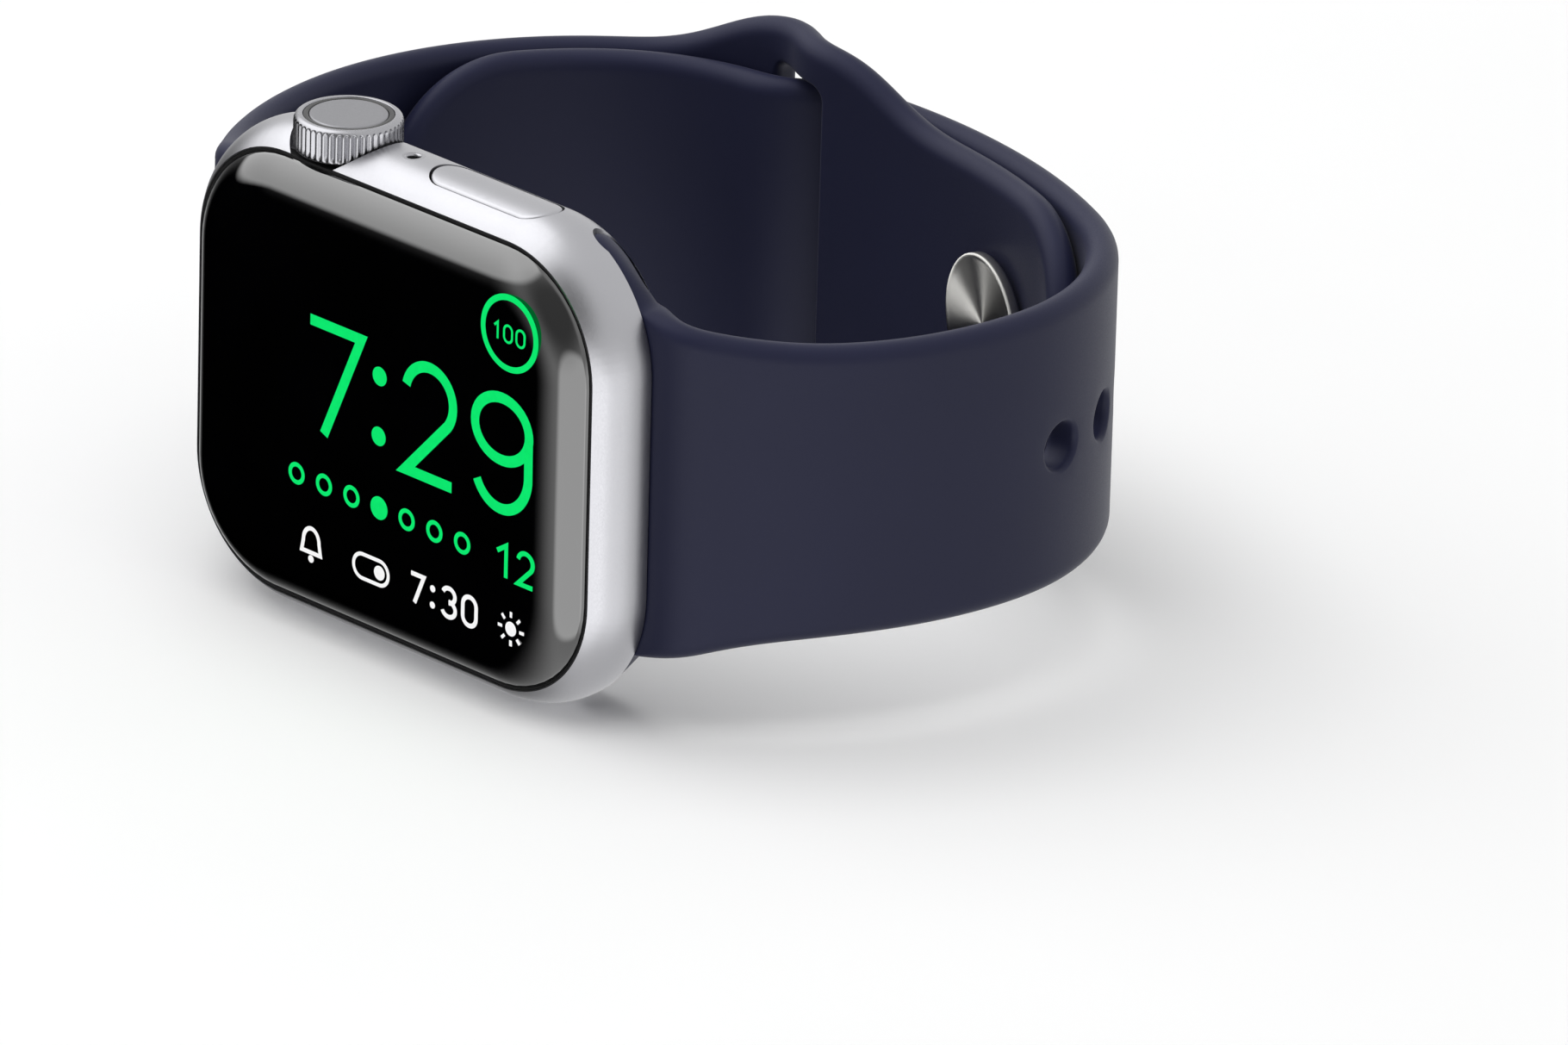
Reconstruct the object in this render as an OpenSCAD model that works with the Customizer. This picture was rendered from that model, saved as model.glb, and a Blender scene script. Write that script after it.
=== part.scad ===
// Smartwatch lying on its left side, its strap fastened in a loop behind it.
// X runs from 12 o'clock to 6 o'clock, Y from the display to the wrist, Z up through the crown.
// The origin is on the flat of the case side that it rests on, at the middle of the case.

/* [Case] */
// Length of the case, 12 o'clock to 6 o'clock
case_l = 40; // [32:0.5:50]
// Width of the case, side to side
case_w = 34; // [28:0.5:42]
// Radius of the case outline at its corners
case_corner_r = 9.5; // [8.5:0.1:12]
// Radius of the rounded side section
case_side_r = 4.4; // [4:0.1:4.8]
// Depth of the case in front of its widest line
case_front = 3.25; // [2.8:0.05:3.6]
// Depth of the case behind its widest line
case_back = 3.8; // [3.5:0.05:4]
// Wall at the sides of the case
side_wall = 2.3; // [1.8:0.1:2.6]
// How far the flat under the case is cut in
rest_cut = 0.1; // [0.05:0.05:0.2]

/* [Cover glass] */
// Metal rim left between the glass opening and the outline of the case front
glass_rim = 0.1; // [0.05:0.05:0.3]
// Width of the black gasket line round the glass
gasket_w = 0.2; // [0.15:0.05:0.4]
// Height of the glass above the case front
glass_rise = 1.75; // [1.4:0.05:2]
// Width of the curved edge of the glass
glass_curve = 3.6; // [3:0.1:4.2]
// Depth of the glass inside the case
glass_sunk = 0.8; // [0.6:0.05:1]
// Thickness of the glass over the display
glass_t = 1; // [0.8:0.1:1.2]
// Thickness of the display panel
display_t = 0.6; // [0.4:0.05:0.8]

/* [Back] */
// Width of the metal border round the back plate, at the sides
back_border = 1.2; // [0.8:0.1:1.6]
// Thickness of the back plate
back_plate_t = 0.8; // [0.6:0.05:0.9]
// Diameter of the sensor crystal
crystal_d = 23.6; // [18:0.1:24]
// Height of the crystal's dome over the case back
crystal_rise = 1.9; // [1.4:0.1:2.4]

/* [Crown] */
// Distance of the crown from the middle of the case, towards 12 o'clock
crown_x = 8; // [7.4:0.1:9]
// Diameter of the knurled crown
crown_d = 7.24; // [6:0.02:8]
// Height of the crown above the case side
crown_proud = 1.15; // [0.8:0.05:2]
// Length of the knurled barrel
crown_len = 2.4; // [1.6:0.1:2.4]
// Diameter of the disc in the end of the crown
crown_cap_d = 5.24; // [4.4:0.02:5.6]
// Width of the dark ring round the disc
crown_ring_w = 0.4; // [0.3:0.02:0.5]
// Number of teeth in the knurl
knurl_teeth = 48; // [30:1:80]
// Depth of the knurl
knurl_depth = 0.16; // [0.1:0.02:0.25]
// Diameter of the crown shaft
shaft_d = 2; // [1.6:0.1:2.4]
// Travel of the crown when pressed
crown_travel = 0.25; // [0.15:0.05:0.3]

/* [Side button] */
// Distance of the side button from the middle of the case, towards 6 o'clock
button_x = 6; // [5.6:0.1:7]
// Length of the side button
button_l = 10.8; // [8:0.1:11]
// Width of the side button
button_w = 3.4; // [2.8:0.1:3.8]
// Travel of the side button when pressed
button_travel = 0.25; // [0.15:0.05:0.3]
// Diameter of the button's plunger
plunger_d = 1.2; // [1:0.1:1.6]

/* [Openings in the case sides] */
// Distance of the microphone hole from the middle of the case, towards 12 o'clock
mic_x = 1.8; // [1.4:0.1:2.4]
// Diameter of the microphone hole
mic_d = 1.1; // [0.8:0.1:1.2]
// Height of the speaker slots
slot_h = 0.9; // [0.6:0.1:1.1]
// Length of the long speaker slot
slot_long = 8; // [6:0.5:9]
// Length of the short speaker slot
slot_short = 2.4; // [1.6:0.2:3]

/* [Strap ends] */
// Distance of a lug's axis from the end of the case
lug_inset = 5; // [4.6:0.1:5.6]
// Depth of a lug's axis behind the widest line
lug_y = 1.9; // [1.8:0.05:2]
// Diameter of the bulb along a lug
lug_d = 2.7; // [2.5:0.05:2.8]
// Clearance between a lug and its channel
lug_fit = 0.05; // [0.04:0.01:0.1]
// Half width of the strap where it meets the case
flare_half = 12.1; // [11:0.1:13]
// Travel of a release button when pressed
release_travel = 0.55; // [0.4:0.05:0.6]

/* [Strap] */
// Width of the strap
strap_w = 20; // [16:0.2:21]
// Thickness of the strap
strap_t = 2.2; // [1.8:0.05:2.2]
// Gap between the two layers of the strap
layer_gap = 0.15; // [0.1:0.05:0.4]
// Straight part of the long half beyond its bend at the case
long_reach = 5; // [4:0.1:8]
// Radius of the long half at its side
long_side_r = 25.9; // [20:0.1:32]
// Radius of the long half at its back corner
long_corner_r = 18; // [14:0.1:24]
// Radius of the loop across the back
back_r = 46; // [38:0.5:54]
// Straight part of the short half beyond its bend at the case
short_reach = 3; // [2:0.1:6]
// Radius of the short half at its side
short_side_r = 23.5; // [18:0.1:30]
// Length of the long half's tail inside the loop
tail_l = 27.4; // [20:0.5:34]
// Diameter of the keeper's round outline
keeper_d = 28; // [25:0.2:30]
// Diameter of the adjustment holes
hole_d = 3.5; // [3:0.1:4]
// Distance from one adjustment hole to the next
hole_pitch = 5.9; // [5:0.1:7]
// Number of adjustment holes between the stud and the case
holes_before = 4; // [2:1:4]
// Number of adjustment holes past the stud
holes_after = 2; // [1:1:2]
// Distance along the long half from its lug to the stud
stud_at = 56.9; // [54:0.1:60]
// Diameter of the stud's disc
stud_d = 9.7; // [7:0.1:11]
// Diameter of the stud's pin
stud_pin_d = 3; // [2.4:0.1:3.2]

/* [Inside] */
// Thickness of the battery
battery_t = 2.3; // [1.8:0.1:2.5]
// Thickness of the main board
board_t = 0.8; // [0.5:0.1:1]
// Travel of the haptic mass each way
haptic_travel = 0.4; // [0.2:0.05:0.5]

/* [Hidden] */
$fn = 72;
PLATE_FIT = 0.05;
RUN_FIT = 0.03;
GLASS_GAP = 0.02;
SEAT_GAP = 0.02;
BUTTON_GAP = 0.14;
LEDGE = 1.2;
LUG_BEND = 50.8;
LUG_BEND_R = 2.6;
LUG_RUN = 5.2;
LONG_CORNER_TURN = 64.2;
BACK_TILT = 7;
SHORT_BREAK = 135;
WEAVE = 40;
SLOT_ROOM = 0.5;
STUD_GAP = 0.4;
STUD_END = 12.5;
DISC_T = 0.9;
PIN_CAP_T = 1.1;
CORE_T = 0.8;
FAR = 60;
BEND_STEP = 3;

mid_z = case_w / 2 - rest_cut;
plan_l = case_l - 2 * case_corner_r;
plan_w = case_w - 2 * case_corner_r;
function hundredth(v) = round(v * 100) / 100;
// How far the rounded side has drawn in at a depth
function draw_in(y) = case_side_r - sqrt(pow(case_side_r, 2) - pow(y, 2));
front_in = hundredth(draw_in(case_front));
back_in = hundredth(draw_in(case_back));
// The glass, its gasket and the opening that holds them
opening_l = case_l - 2 * (front_in + glass_rim);
opening_w = case_w - 2 * (front_in + glass_rim);
opening_r = case_corner_r - front_in - glass_rim;
glass_in = gasket_w;
glass_l = opening_l - 2 * glass_in;
glass_w = opening_w - 2 * glass_in;
glass_r = opening_r - glass_in;
glass_arc = (pow(glass_curve, 2) + pow(glass_rise, 2)) / (2 * glass_rise);
pocket_in = glass_curve - 0.8;
pocket_top = -case_front - glass_rise + glass_t;
panel_back = pocket_top + display_t + GLASS_GAP;
ledge_y = -case_front + glass_sunk + 0.1;
// The rooms inside the case
front_room_l = case_l - 2 * side_wall;
front_room_w = case_w - 2 * side_wall;
front_room_r = case_corner_r - side_wall;
room_split = -0.6;
lug_x = case_l / 2 - lug_inset;
channel_d = lug_d + 2 * lug_fit;
back_room_l = 2 * (lug_x - channel_d / 2 - 0.95);
back_room_r = 3;
back_wall = 0.6;
plate_floor = case_back - back_plate_t - PLATE_FIT;
plate_l = 2 * (lug_x - channel_d / 2 - 0.6);
plate_w = case_w - 2 * (back_in + back_border);
plate_r = 8;
hatch_l = plate_l - 2 * LEDGE;
hatch_w = plate_w - 2 * LEDGE;
room_back = plate_floor - back_wall;
// The crown and what it turns in; side_y is the case side at the crown
side_y = -case_w / 2;
crown_top = side_y - crown_proud;
crown_foot = crown_top + crown_len;
scallop_y = crown_foot + crown_travel + 0.15;
wall_in = side_y + side_wall;
bush_d = shaft_d + 1.4;
bush_end = wall_in + 0.7;
shaft_end = bush_end + 2.6;
pad_t = 0.5;
pad_y = shaft_end + 0.05;
switch_y = pad_y + pad_t + crown_travel + 0.03;
// The side button
pocket_y = side_y + 1.65;
button_foot = pocket_y - button_travel - 0.05;
plunger_end = wall_in + 1.4;
button_switch_y = plunger_end + button_travel + 0.03;
// The stack between display and back
board_y = 0.4;
battery_y = board_y - 0.2 - battery_t;
haptic_x0 = -back_room_l / 2 + 0.3;
haptic_l = 9.6;
battery_x0 = haptic_x0 + haptic_l + 0.4;
inner_w = 19;
screw_spots = [[1.1, -case_w / 2 + 3.9], [9.3, -case_w / 2 + 4.5],
               [7.4, case_w / 2 - 3.9], [-10.3, case_w / 2 - 5.7]];
boss_d = 2.2;
screw_d = 0.8;
boss_front = board_y + board_t + 0.02;
// The release buttons in the case back
release_l = 3.2;
release_w = 1.5;
release_y = lug_y + lug_d / 2 + 0.2;
// The sensor crystal
crystal_sag = crystal_rise - 0.15;
crystal_r = (pow(crystal_d / 2, 2) + pow(crystal_sag, 2)) / (2 * crystal_sag);
crystal_in_d = crystal_d - 5;
crystal_roof = case_back + crystal_rise - 1.6;
magnet_d = crystal_in_d - 6;
sensor_r = magnet_d / 2 - 1.45;
lens_d = sensor_r / 2;
chip_w = 0.75 * lens_d;

// The strap's centre line: runs of [length, turn], left turns positive
layer = strap_t + layer_gap;
lug_runs = [[LUG_RUN, 0], arc(LUG_BEND_R, LUG_BEND)];
weave_r = layer / (2 * (1 - cos(WEAVE)));
weave_l = 2 * weave_r * sin(WEAVE);
weave_runs = [arc(weave_r, WEAVE), arc(weave_r, -WEAVE)];
corner_end = 90 + LONG_CORNER_TURN;
back_turn = 180 + BACK_TILT - corner_end;
lug_pose = [lug_x, lug_y, 0];
long_outer = concat(lug_runs, [[long_reach, 0], arc(long_side_r, 90 - LUG_BEND),
                    arc(long_corner_r, LONG_CORNER_TURN), arc(back_r, back_turn)]);
weave_pose = pose(long_outer, lug_pose);
// The short half is drawn mirrored, and its two back radii close the loop
short_side = concat(lug_runs, [[short_reach, 0], arc(short_side_r, 90 - LUG_BEND)]);
side_pose = pose(short_side, lug_pose);
join = [-(weave_pose[0] + weave_l * cos(weave_pose[2])), weave_pose[1] + weave_l * sin(weave_pose[2])];
join_h = 180 - BACK_TILT;
gap_x = join[0] - side_pose[0];
gap_y = join[1] - side_pose[1];
ax = sin(SHORT_BREAK) - 1;
ay = -cos(SHORT_BREAK);
bx = sin(join_h) - sin(SHORT_BREAK);
by = cos(SHORT_BREAK) - cos(join_h);
short_corner_r = (gap_x * by - bx * gap_y) / (ax * by - bx * ay);
short_back_r = (ax * gap_y - gap_x * ay) / (ax * by - bx * ay);
short_outer = concat(short_side, [arc(short_corner_r, SHORT_BREAK - 90),
                     arc(short_back_r, join_h - SHORT_BREAK)]);
tail_r = short_corner_r - layer - 1.5;
tail_bend = arc(short_back_r - layer, join_h - SHORT_BREAK);
long_path = concat(long_outer, weave_runs, [tail_bend, part_arc(tail_r, tail_l - tail_bend[0])]);
stud_run = run_length(long_outer) - stud_at;
stud_run_in = stud_run * (back_r - layer) / back_r;
short_past = concat([arc(back_r - layer, back_turn)],
                    [part_arc(long_corner_r - layer, stud_run_in + STUD_END - (back_r - layer) * back_turn * PI / 180)]);
short_path = concat(short_outer, weave_runs, short_past);
flare_end = pose(concat(lug_runs, [[short_reach, 0]]), lug_pose)[0];
flare_r = (pow(flare_end - case_l / 2 + 1, 2) + pow(flare_half - strap_w / 2, 2))
          / (2 * (flare_half - strap_w / 2));
// The two halves pass each other between the bends where their facing sides have parted
part_turn = acos((weave_r - layer / 2) / (weave_r - strap_t / 2));
slot_l = weave_l - 2 * (weave_r - strap_t / 2) * sin(part_turn) + SLOT_ROOM;
slot_w = strap_w + 2 * SLOT_ROOM;

function arc(r, turn) = [r * abs(turn) * PI / 180, turn];
function part_arc(r, length) = [length, length / r * 180 / PI];
// Where a run ends, from a pose [x, y, heading]
function ahead(p, run) =
    run[1] == 0 ? [p[0] + run[0] * cos(p[2]), p[1] + run[0] * sin(p[2]), p[2]]
    : let (r = run[0] / (run[1] * PI / 180), h = p[2] + run[1])
      [p[0] + r * (sin(h) - sin(p[2])), p[1] + r * (cos(p[2]) - cos(h)), h];
function first(path, n) = [for (i = [0:1:n - 1]) path[i]];
function rest(path) = [for (i = [1:1:len(path) - 1]) path[i]];
function pose(path, start) = len(path) == 0 ? start : pose(rest(path), ahead(start, path[0]));
function run_length(path) = len(path) == 0 ? 0 : path[0][0] + run_length(rest(path));
// The pose at a distance along a path
function at(path, s, start) =
    s <= path[0][0] || len(path) == 1 ? ahead(start, [s, path[0][1] * s / path[0][0]])
    : at(rest(path), s - path[0][0], ahead(start, path[0]));
// Poses along a path, one every few degrees of a bend
function steps(run) = max(1, ceil(abs(run[1]) / BEND_STEP));
function trail(path, start) = concat([start], [for (i = [0:1:len(path) - 1])
    let (p = pose(first(path, i), start), n = steps(path[i]))
    for (k = [1:1:n]) ahead(p, path[i] * k / n)]);
function all_steps(path) = len(path) == 0 ? 0 : steps(path[0]) + all_steps(rest(path));
function beside(p, d) = [p[0] - d * sin(p[2]), p[1] + d * cos(p[2])];

// Lays a piece that is drawn face down, its depth along Z, on its left side
module on_side() translate([0, 0, mid_z]) rotate([-90, 0, 0]) children();

// Points a piece that is drawn along Z into the crown side of the case, from depth 0
module into_side(x) translate([x, 0, 0]) rotate([-90, 0, 0]) children();

// A block of l x w whose rounded corners and sides take the section given as child
module edge_swept(l, w, r) {
    for (a = [0, 180]) rotate(a) {
        translate([l / 2 - r, w / 2 - r, 0]) rotate_extrude(angle = 90) children();
        translate([-(l / 2 - r), w / 2 - r, 0]) rotate(90) rotate_extrude(angle = 90) children();
        translate([-(l / 2 - r), w / 2 - r, 0]) rotate([90, 0, 90]) linear_extrude(l - 2 * r) children();
        translate([l / 2 - r, w / 2 - r, 0]) rotate([90, 0, 0]) linear_extrude(w - 2 * r) children();
    }
}

// A block with upright rounded corners, from depth y0 to y1
module block(l, w, r, y0, y1) {
    translate([-l / 2 + r, -w / 2 + r, y0]) cube([l - 2 * r, w - 2 * r, y1 - y0]);
    edge_swept(l, w, r) translate([0, y0]) square([r, y1 - y0]);
}

// A frame with upright rounded corners and a wall of the given width
module frame(l, w, r, wall, y0, y1)
    edge_swept(l, w, r) translate([r - wall, y0]) square([wall, y1 - y0]);

module box(x0, x1, y0, y1, z0, z1) translate([x0, y0, z0]) cube([x1 - x0, y1 - y0, z1 - z0]);

// A stadium prism centred on the origin, l long in X, w wide in Y
module pill(l, w, y0, y1) {
    box(-(l - w) / 2, (l - w) / 2, -w / 2, w / 2, y0, y1);
    for (s = [0, 180]) rotate(s)
        translate([(l - w) / 2, 0, y0]) rotate(-90) rotate_extrude(angle = 180) square([w / 2, y1 - y0]);
}

module tube(d, bore, h) difference() {
    cylinder(d = d, h = h);
    translate([0, 0, -1]) cylinder(d = bore, h = h + 2);
}

// ---------------------------------------------------------------- the case

module side_section() {
    translate([0, -case_front]) square([case_corner_r - case_side_r, case_front + case_back]);
    intersection() {
        translate([case_corner_r - case_side_r, 0]) circle(r = case_side_r);
        translate([case_corner_r - case_side_r, -case_front]) square([case_side_r, case_front + case_back]);
    }
}

module case_outside() {
    translate([-plan_l / 2, -plan_w / 2, -case_front]) cube([plan_l, plan_w, case_front + case_back]);
    edge_swept(case_l, case_w, case_corner_r) side_section();
}

module case_rooms() {
    block(opening_l, opening_w, opening_r, -case_front - 1, ledge_y);
    block(front_room_l, front_room_w, front_room_r, ledge_y - 0.5, room_split);
    block(back_room_l, front_room_w, back_room_r, room_split - 0.5, room_back);
    block(hatch_l, hatch_w, plate_r - LEDGE, room_back - 0.5, case_back);
    block(plate_l + 2 * PLATE_FIT, plate_w + 2 * PLATE_FIT, plate_r + PLATE_FIT, plate_floor, case_back + 1);
}

module lug_channel() {
    neck = strap_t / 2 + 2 * lug_fit;
    translate([lug_x, FAR / 2, lug_y]) rotate([90, 0, 0]) cylinder(d = channel_d, h = FAR);
    box(lug_x, case_l, -FAR / 2, FAR / 2, lug_y - neck, lug_y + neck);
    translate([lug_x, 0, 0]) rotate(90)
        pill(release_l + 2 * RUN_FIT, release_w + 2 * RUN_FIT, lug_y, case_back + 1);
}

module crown_hole() {
    translate([-crown_x, 0, 0]) rotate([-90, 0, 0]) translate([0, 0, -FAR]) {
        cylinder(d = crown_d + 0.4, h = FAR + scallop_y);
        cylinder(d = bush_d + 2 * RUN_FIT, h = FAR + bush_end + 1);
    }
}

module button_hole() {
    translate([button_x, 0, 0]) rotate([90, 0, 0]) {
        pill(button_l + 2 * BUTTON_GAP, button_w + 2 * BUTTON_GAP, -pocket_y, FAR);
        cylinder(d = plunger_d + 2 * RUN_FIT, h = FAR);
    }
}

module screw_bosses() difference() {
    for (p = screw_spots)
        translate([p[0], p[1], boss_front]) cylinder(d = boss_d, h = room_back + 0.3 - boss_front);
    for (p = screw_spots)
        translate([p[0], p[1], boss_front - 1]) cylinder(d = screw_d, h = room_back - boss_front + 1);
}

module speaker_slots() for (s = [[-slot_long - 1.5, slot_long], [1.5, slot_short]])
    translate([s[0] + s[1] / 2, FAR, 0]) rotate([90, 0, 0]) pill(s[1], slot_h, 0, FAR - case_w / 2 + side_wall + 1);

module case_body() color("silver") on_side() {
    difference() {
        case_outside();
        case_rooms();
        for (s = [0, 1]) mirror([s, 0, 0]) lug_channel();
        crown_hole();
        button_hole();
        translate([-mic_x, wall_in + 1, 0]) rotate([90, 0, 0]) cylinder(d = mic_d, h = FAR);
        speaker_slots();
        translate([-FAR, case_w / 2 - rest_cut, -FAR]) cube(2 * FAR);
    }
    screw_bosses();
}

module glass_section() {
    y0 = -case_front - glass_rise;
    square_h = case_front + glass_rise - case_front + glass_sunk;
    translate([0, y0]) square([glass_r - glass_curve, square_h]);
    intersection() {
        translate([glass_r - glass_curve, y0 + glass_arc]) circle(r = glass_arc);
        translate([glass_r - glass_curve, y0]) square([glass_curve, glass_rise]);
    }
    translate([glass_r - glass_curve, -case_front]) square([glass_curve, glass_sunk]);
}

module cover_glass() color([0.02, 0.02, 0.02]) on_side() difference() {
    union() {
        block(glass_l - 2 * glass_curve, glass_w - 2 * glass_curve, glass_r - glass_curve,
              -case_front - glass_rise, -case_front + glass_sunk);
        edge_swept(glass_l, glass_w, glass_r) glass_section();
    }
    block(glass_l - 2 * pocket_in, glass_w - 2 * pocket_in, glass_r - pocket_in, pocket_top, 0);
}

module glass_gasket() color([0.05, 0.05, 0.05]) on_side() {
    fit = GLASS_GAP;
    frame(opening_l - 2 * fit, opening_w - 2 * fit, opening_r - fit, glass_in - 2 * fit,
          -case_front + 0.05, ledge_y - fit);
    frame(opening_l - 2 * fit, opening_w - 2 * fit, opening_r - fit, 1,
          -case_front + glass_sunk + fit, ledge_y - fit);
}

module display_panel() color([0.08, 0.08, 0.1]) on_side() {
    in = pocket_in + 0.2;
    block(glass_l - 2 * in, glass_w - 2 * in, glass_r - in, pocket_top + GLASS_GAP, panel_back);
}

module display_flex() color([0.72, 0.45, 0.12]) on_side() {
    x1 = back_room_l / 2 - 0.4;
    box(x1 - 0.25, x1 - 0.1, -4, 4, panel_back + 0.02, board_y - 0.02);
    box(x1 - 3, x1 - 0.1, -4, 4, board_y - 0.17, board_y - 0.02);
}

// ---------------------------------------------------------------- inside the case

module main_board() color([0.1, 0.32, 0.2]) on_side() difference() {
    half = back_room_l / 2 - 0.2;
    union() {
        box(-half, half, -inner_w / 2, inner_w / 2, board_y, board_y + board_t);
        for (p = screw_spots) {
            near = sign(p[1]) * (inner_w / 2 - 1);
            box(p[0] - 1.2, p[0] + 1.2, min(near, p[1] + sign(p[1]) * 1.2), max(near, p[1] + sign(p[1]) * 1.2),
                board_y, board_y + board_t);
        }
        box(-half + 1, -half + 13, -8, 8, board_y + board_t, room_back);
        for (y = [-7, -1.5, 4]) box(2.4, 10.4, y, y + 4, board_y + board_t, room_back - 0.1);
    }
    for (p = screw_spots) translate([p[0], p[1], 0]) cylinder(d = screw_d + 0.2, h = FAR);
}

module board_screws() color("dimgray") on_side() for (p = screw_spots) translate([p[0], p[1], board_y - 0.42]) {
    cylinder(d = 1.6, h = 0.4);
    cylinder(d = screw_d - 0.02, h = room_back - board_y + 0.3);
}

module battery() color([0.16, 0.16, 0.18]) on_side() {
    x1 = back_room_l / 2 - 0.9;
    translate([(battery_x0 + x1) / 2, 0, 0]) block(x1 - battery_x0, inner_w, 1.2, battery_y, battery_y + battery_t);
}

module battery_flex() color([0.75, 0.5, 0.15]) on_side() {
    x0 = battery_x0 + 3;
    box(x0, x0 + 4, inner_w / 2 + 0.02, inner_w / 2 + 0.17, battery_y + 0.6, board_y + board_t);
}

// The haptic motor: a sealed box with a mass that slides along X between two leaf springs
haptic_room = [haptic_l - 0.6, inner_w - 0.6, battery_t - 0.6];
module haptic_housing() color([0.62, 0.63, 0.65]) on_side() translate([haptic_x0, -inner_w / 2, battery_y])
    difference() {
        cube([haptic_l, inner_w, battery_t]);
        translate([0.3, 0.3, 0.3]) cube(haptic_room);
    }

module haptic_mass() color([0.35, 0.36, 0.38]) on_side() {
    l = haptic_room[0] - 2 * haptic_travel - 1;
    translate([haptic_x0 + haptic_l / 2 - l / 2, -haptic_room[1] / 2 + 0.1, battery_y + 0.4])
        cube([l, haptic_room[1] - 0.2, haptic_room[2] - 0.2]);
}

module haptic_springs() color("gainsboro") on_side() for (s = [-1, 1]) for (y = [-6, 6]) {
    x = haptic_x0 + haptic_l / 2 + s * (haptic_room[0] / 2 - haptic_travel - 0.5 + (haptic_travel + 0.5) / 2);
    span = haptic_travel + 0.5 - 0.04;
    translate([x - span / 2, y - 1.5, battery_y + 0.5]) cube([span, 0.12, battery_t - 1]);
    translate([x - span / 2, y + 1.4, battery_y + 0.5]) cube([span, 0.12, battery_t - 1]);
}

module speaker_module() color([0.12, 0.12, 0.13]) on_side() difference() {
    y1 = case_w / 2 - side_wall - 0.45;
    box(-9.2, 4.6, inner_w / 2 + 0.35, y1, battery_y, board_y - 0.1);
    box(-8.6, 4, inner_w / 2 + 1.2, y1 + 1, -0.5, 0.1);
}

module speaker_mesh() color([0.2, 0.2, 0.2]) on_side() {
    y1 = case_w / 2 - side_wall - 0.4;
    box(-slot_long - 2, slot_short + 2, y1, y1 + 0.35, -0.58, 0.58);
}

module microphone() color([0.55, 0.5, 0.35]) on_side()
    box(-mic_x - 1.2, -mic_x + 0.9, wall_in + 0.4, wall_in + 1.5, -0.9, 0.9);

module mic_mesh() color([0.2, 0.2, 0.2]) on_side()
    translate([-mic_x, wall_in + 0.35, 0]) rotate([90, 0, 0]) cylinder(d = 1.6, h = 0.33);

// ---------------------------------------------------------------- the back

module back_plate() color([0.08, 0.08, 0.09]) on_side() difference() {
    block(plate_l, plate_w, plate_r, plate_floor + 0.05, plate_floor + 0.05 + back_plate_t);
    cylinder(d = crystal_d - 1, h = FAR);
    translate([0, 0, case_back - back_plate_t / 2]) cylinder(d = crystal_d + 2 * SEAT_GAP, h = FAR);
}

module back_gasket() color([0.03, 0.03, 0.03]) on_side()
    frame(plate_l - 0.4, plate_w - 0.4, plate_r - 0.2, 0.7, plate_floor, plate_floor + 0.05);

module sensor_crystal() color([0.1, 0.1, 0.12]) on_side() difference() {
    foot = case_back - back_plate_t / 2 + SEAT_GAP;
    rim = case_back + crystal_rise - crystal_sag;
    union() {
        translate([0, 0, foot]) cylinder(d = crystal_d, h = rim - foot);
        intersection() {
            translate([0, 0, case_back + crystal_rise - crystal_r]) sphere(r = crystal_r, $fn = 144);
            translate([0, 0, rim]) cylinder(d = crystal_d, h = crystal_rise);
        }
    }
    cylinder(d = crystal_in_d, h = crystal_roof);
}

module sensor_board() color([0.12, 0.3, 0.18]) on_side() {
    translate([0, 0, crystal_roof - 0.9]) cylinder(r = sensor_r, h = 0.4);
    for (a = [45:90:315]) rotate(a)
        translate([1.24 * lens_d, 0, crystal_roof - 0.5]) cylinder(d = lens_d, h = 0.4);
    translate([-chip_w / 2, -chip_w / 2, crystal_roof - 0.5]) cube([chip_w, chip_w, 0.4]);
}

module charging_coil() color([0.72, 0.42, 0.2]) on_side()
    translate([0, 0, crystal_roof - 0.6]) tube(crystal_in_d - 0.6, magnet_d + 0.4, 0.5);

module charging_magnet() color([0.6, 0.6, 0.62]) on_side()
    translate([0, 0, crystal_roof - 0.9]) tube(magnet_d, magnet_d - 2.4, 0.8);

module release_button() color("silver") on_side() translate([lug_x, 0, 0]) rotate(90)
    pill(release_l, release_w, release_y, case_back + 0.08);

module release_button_12() mirror([1, 0, 0]) release_button();

module release_button_6() release_button();

// ---------------------------------------------------------------- the crown, drawn along its axis

module crown_at() on_side() into_side(-crown_x) children();

module crown_barrel() color([0.8, 0.8, 0.81]) crown_at() difference() {
    bevel = 0.3;
    translate([0, 0, crown_top]) union() {
        cylinder(d1 = crown_d - 2 * bevel - knurl_depth, d2 = crown_d - 2 * knurl_depth, h = bevel);
        translate([0, 0, bevel]) cylinder(d = crown_d - 2 * knurl_depth, h = crown_len - bevel);
        for (i = [0:knurl_teeth - 1]) rotate(i * 360 / knurl_teeth)
            translate([crown_d / 2 - knurl_depth - 0.2, -0.1, bevel + 0.05])
                cube([knurl_depth + 0.2, 0.2, crown_len - 2 * bevel - 0.05]);
    }
    translate([0, 0, crown_top - 1]) cylinder(d = crown_cap_d + 2 * crown_ring_w, h = 1.5);
    translate([0, 0, crown_top]) cylinder(d = shaft_d + 2 * SEAT_GAP, h = crown_len + 1);
}

module crown_disc() color([0.72, 0.72, 0.73]) crown_at()
    translate([0, 0, crown_top + 0.02]) cylinder(d = crown_cap_d, h = 0.45);

module crown_ring() color([0.06, 0.06, 0.07]) crown_at()
    translate([0, 0, crown_top + 0.05])
        tube(crown_cap_d + 2 * crown_ring_w - 2 * SEAT_GAP, crown_cap_d + 2 * SEAT_GAP, 0.42);

module crown_shaft() color([0.7, 0.7, 0.72]) crown_at() difference() {
    translate([0, 0, crown_top + 0.5]) cylinder(d = shaft_d, h = shaft_end - crown_top - 0.5);
    translate([0, 0, bush_end + 0.5]) tube(shaft_d + 1, shaft_d - 0.5, 0.32);
}

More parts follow.
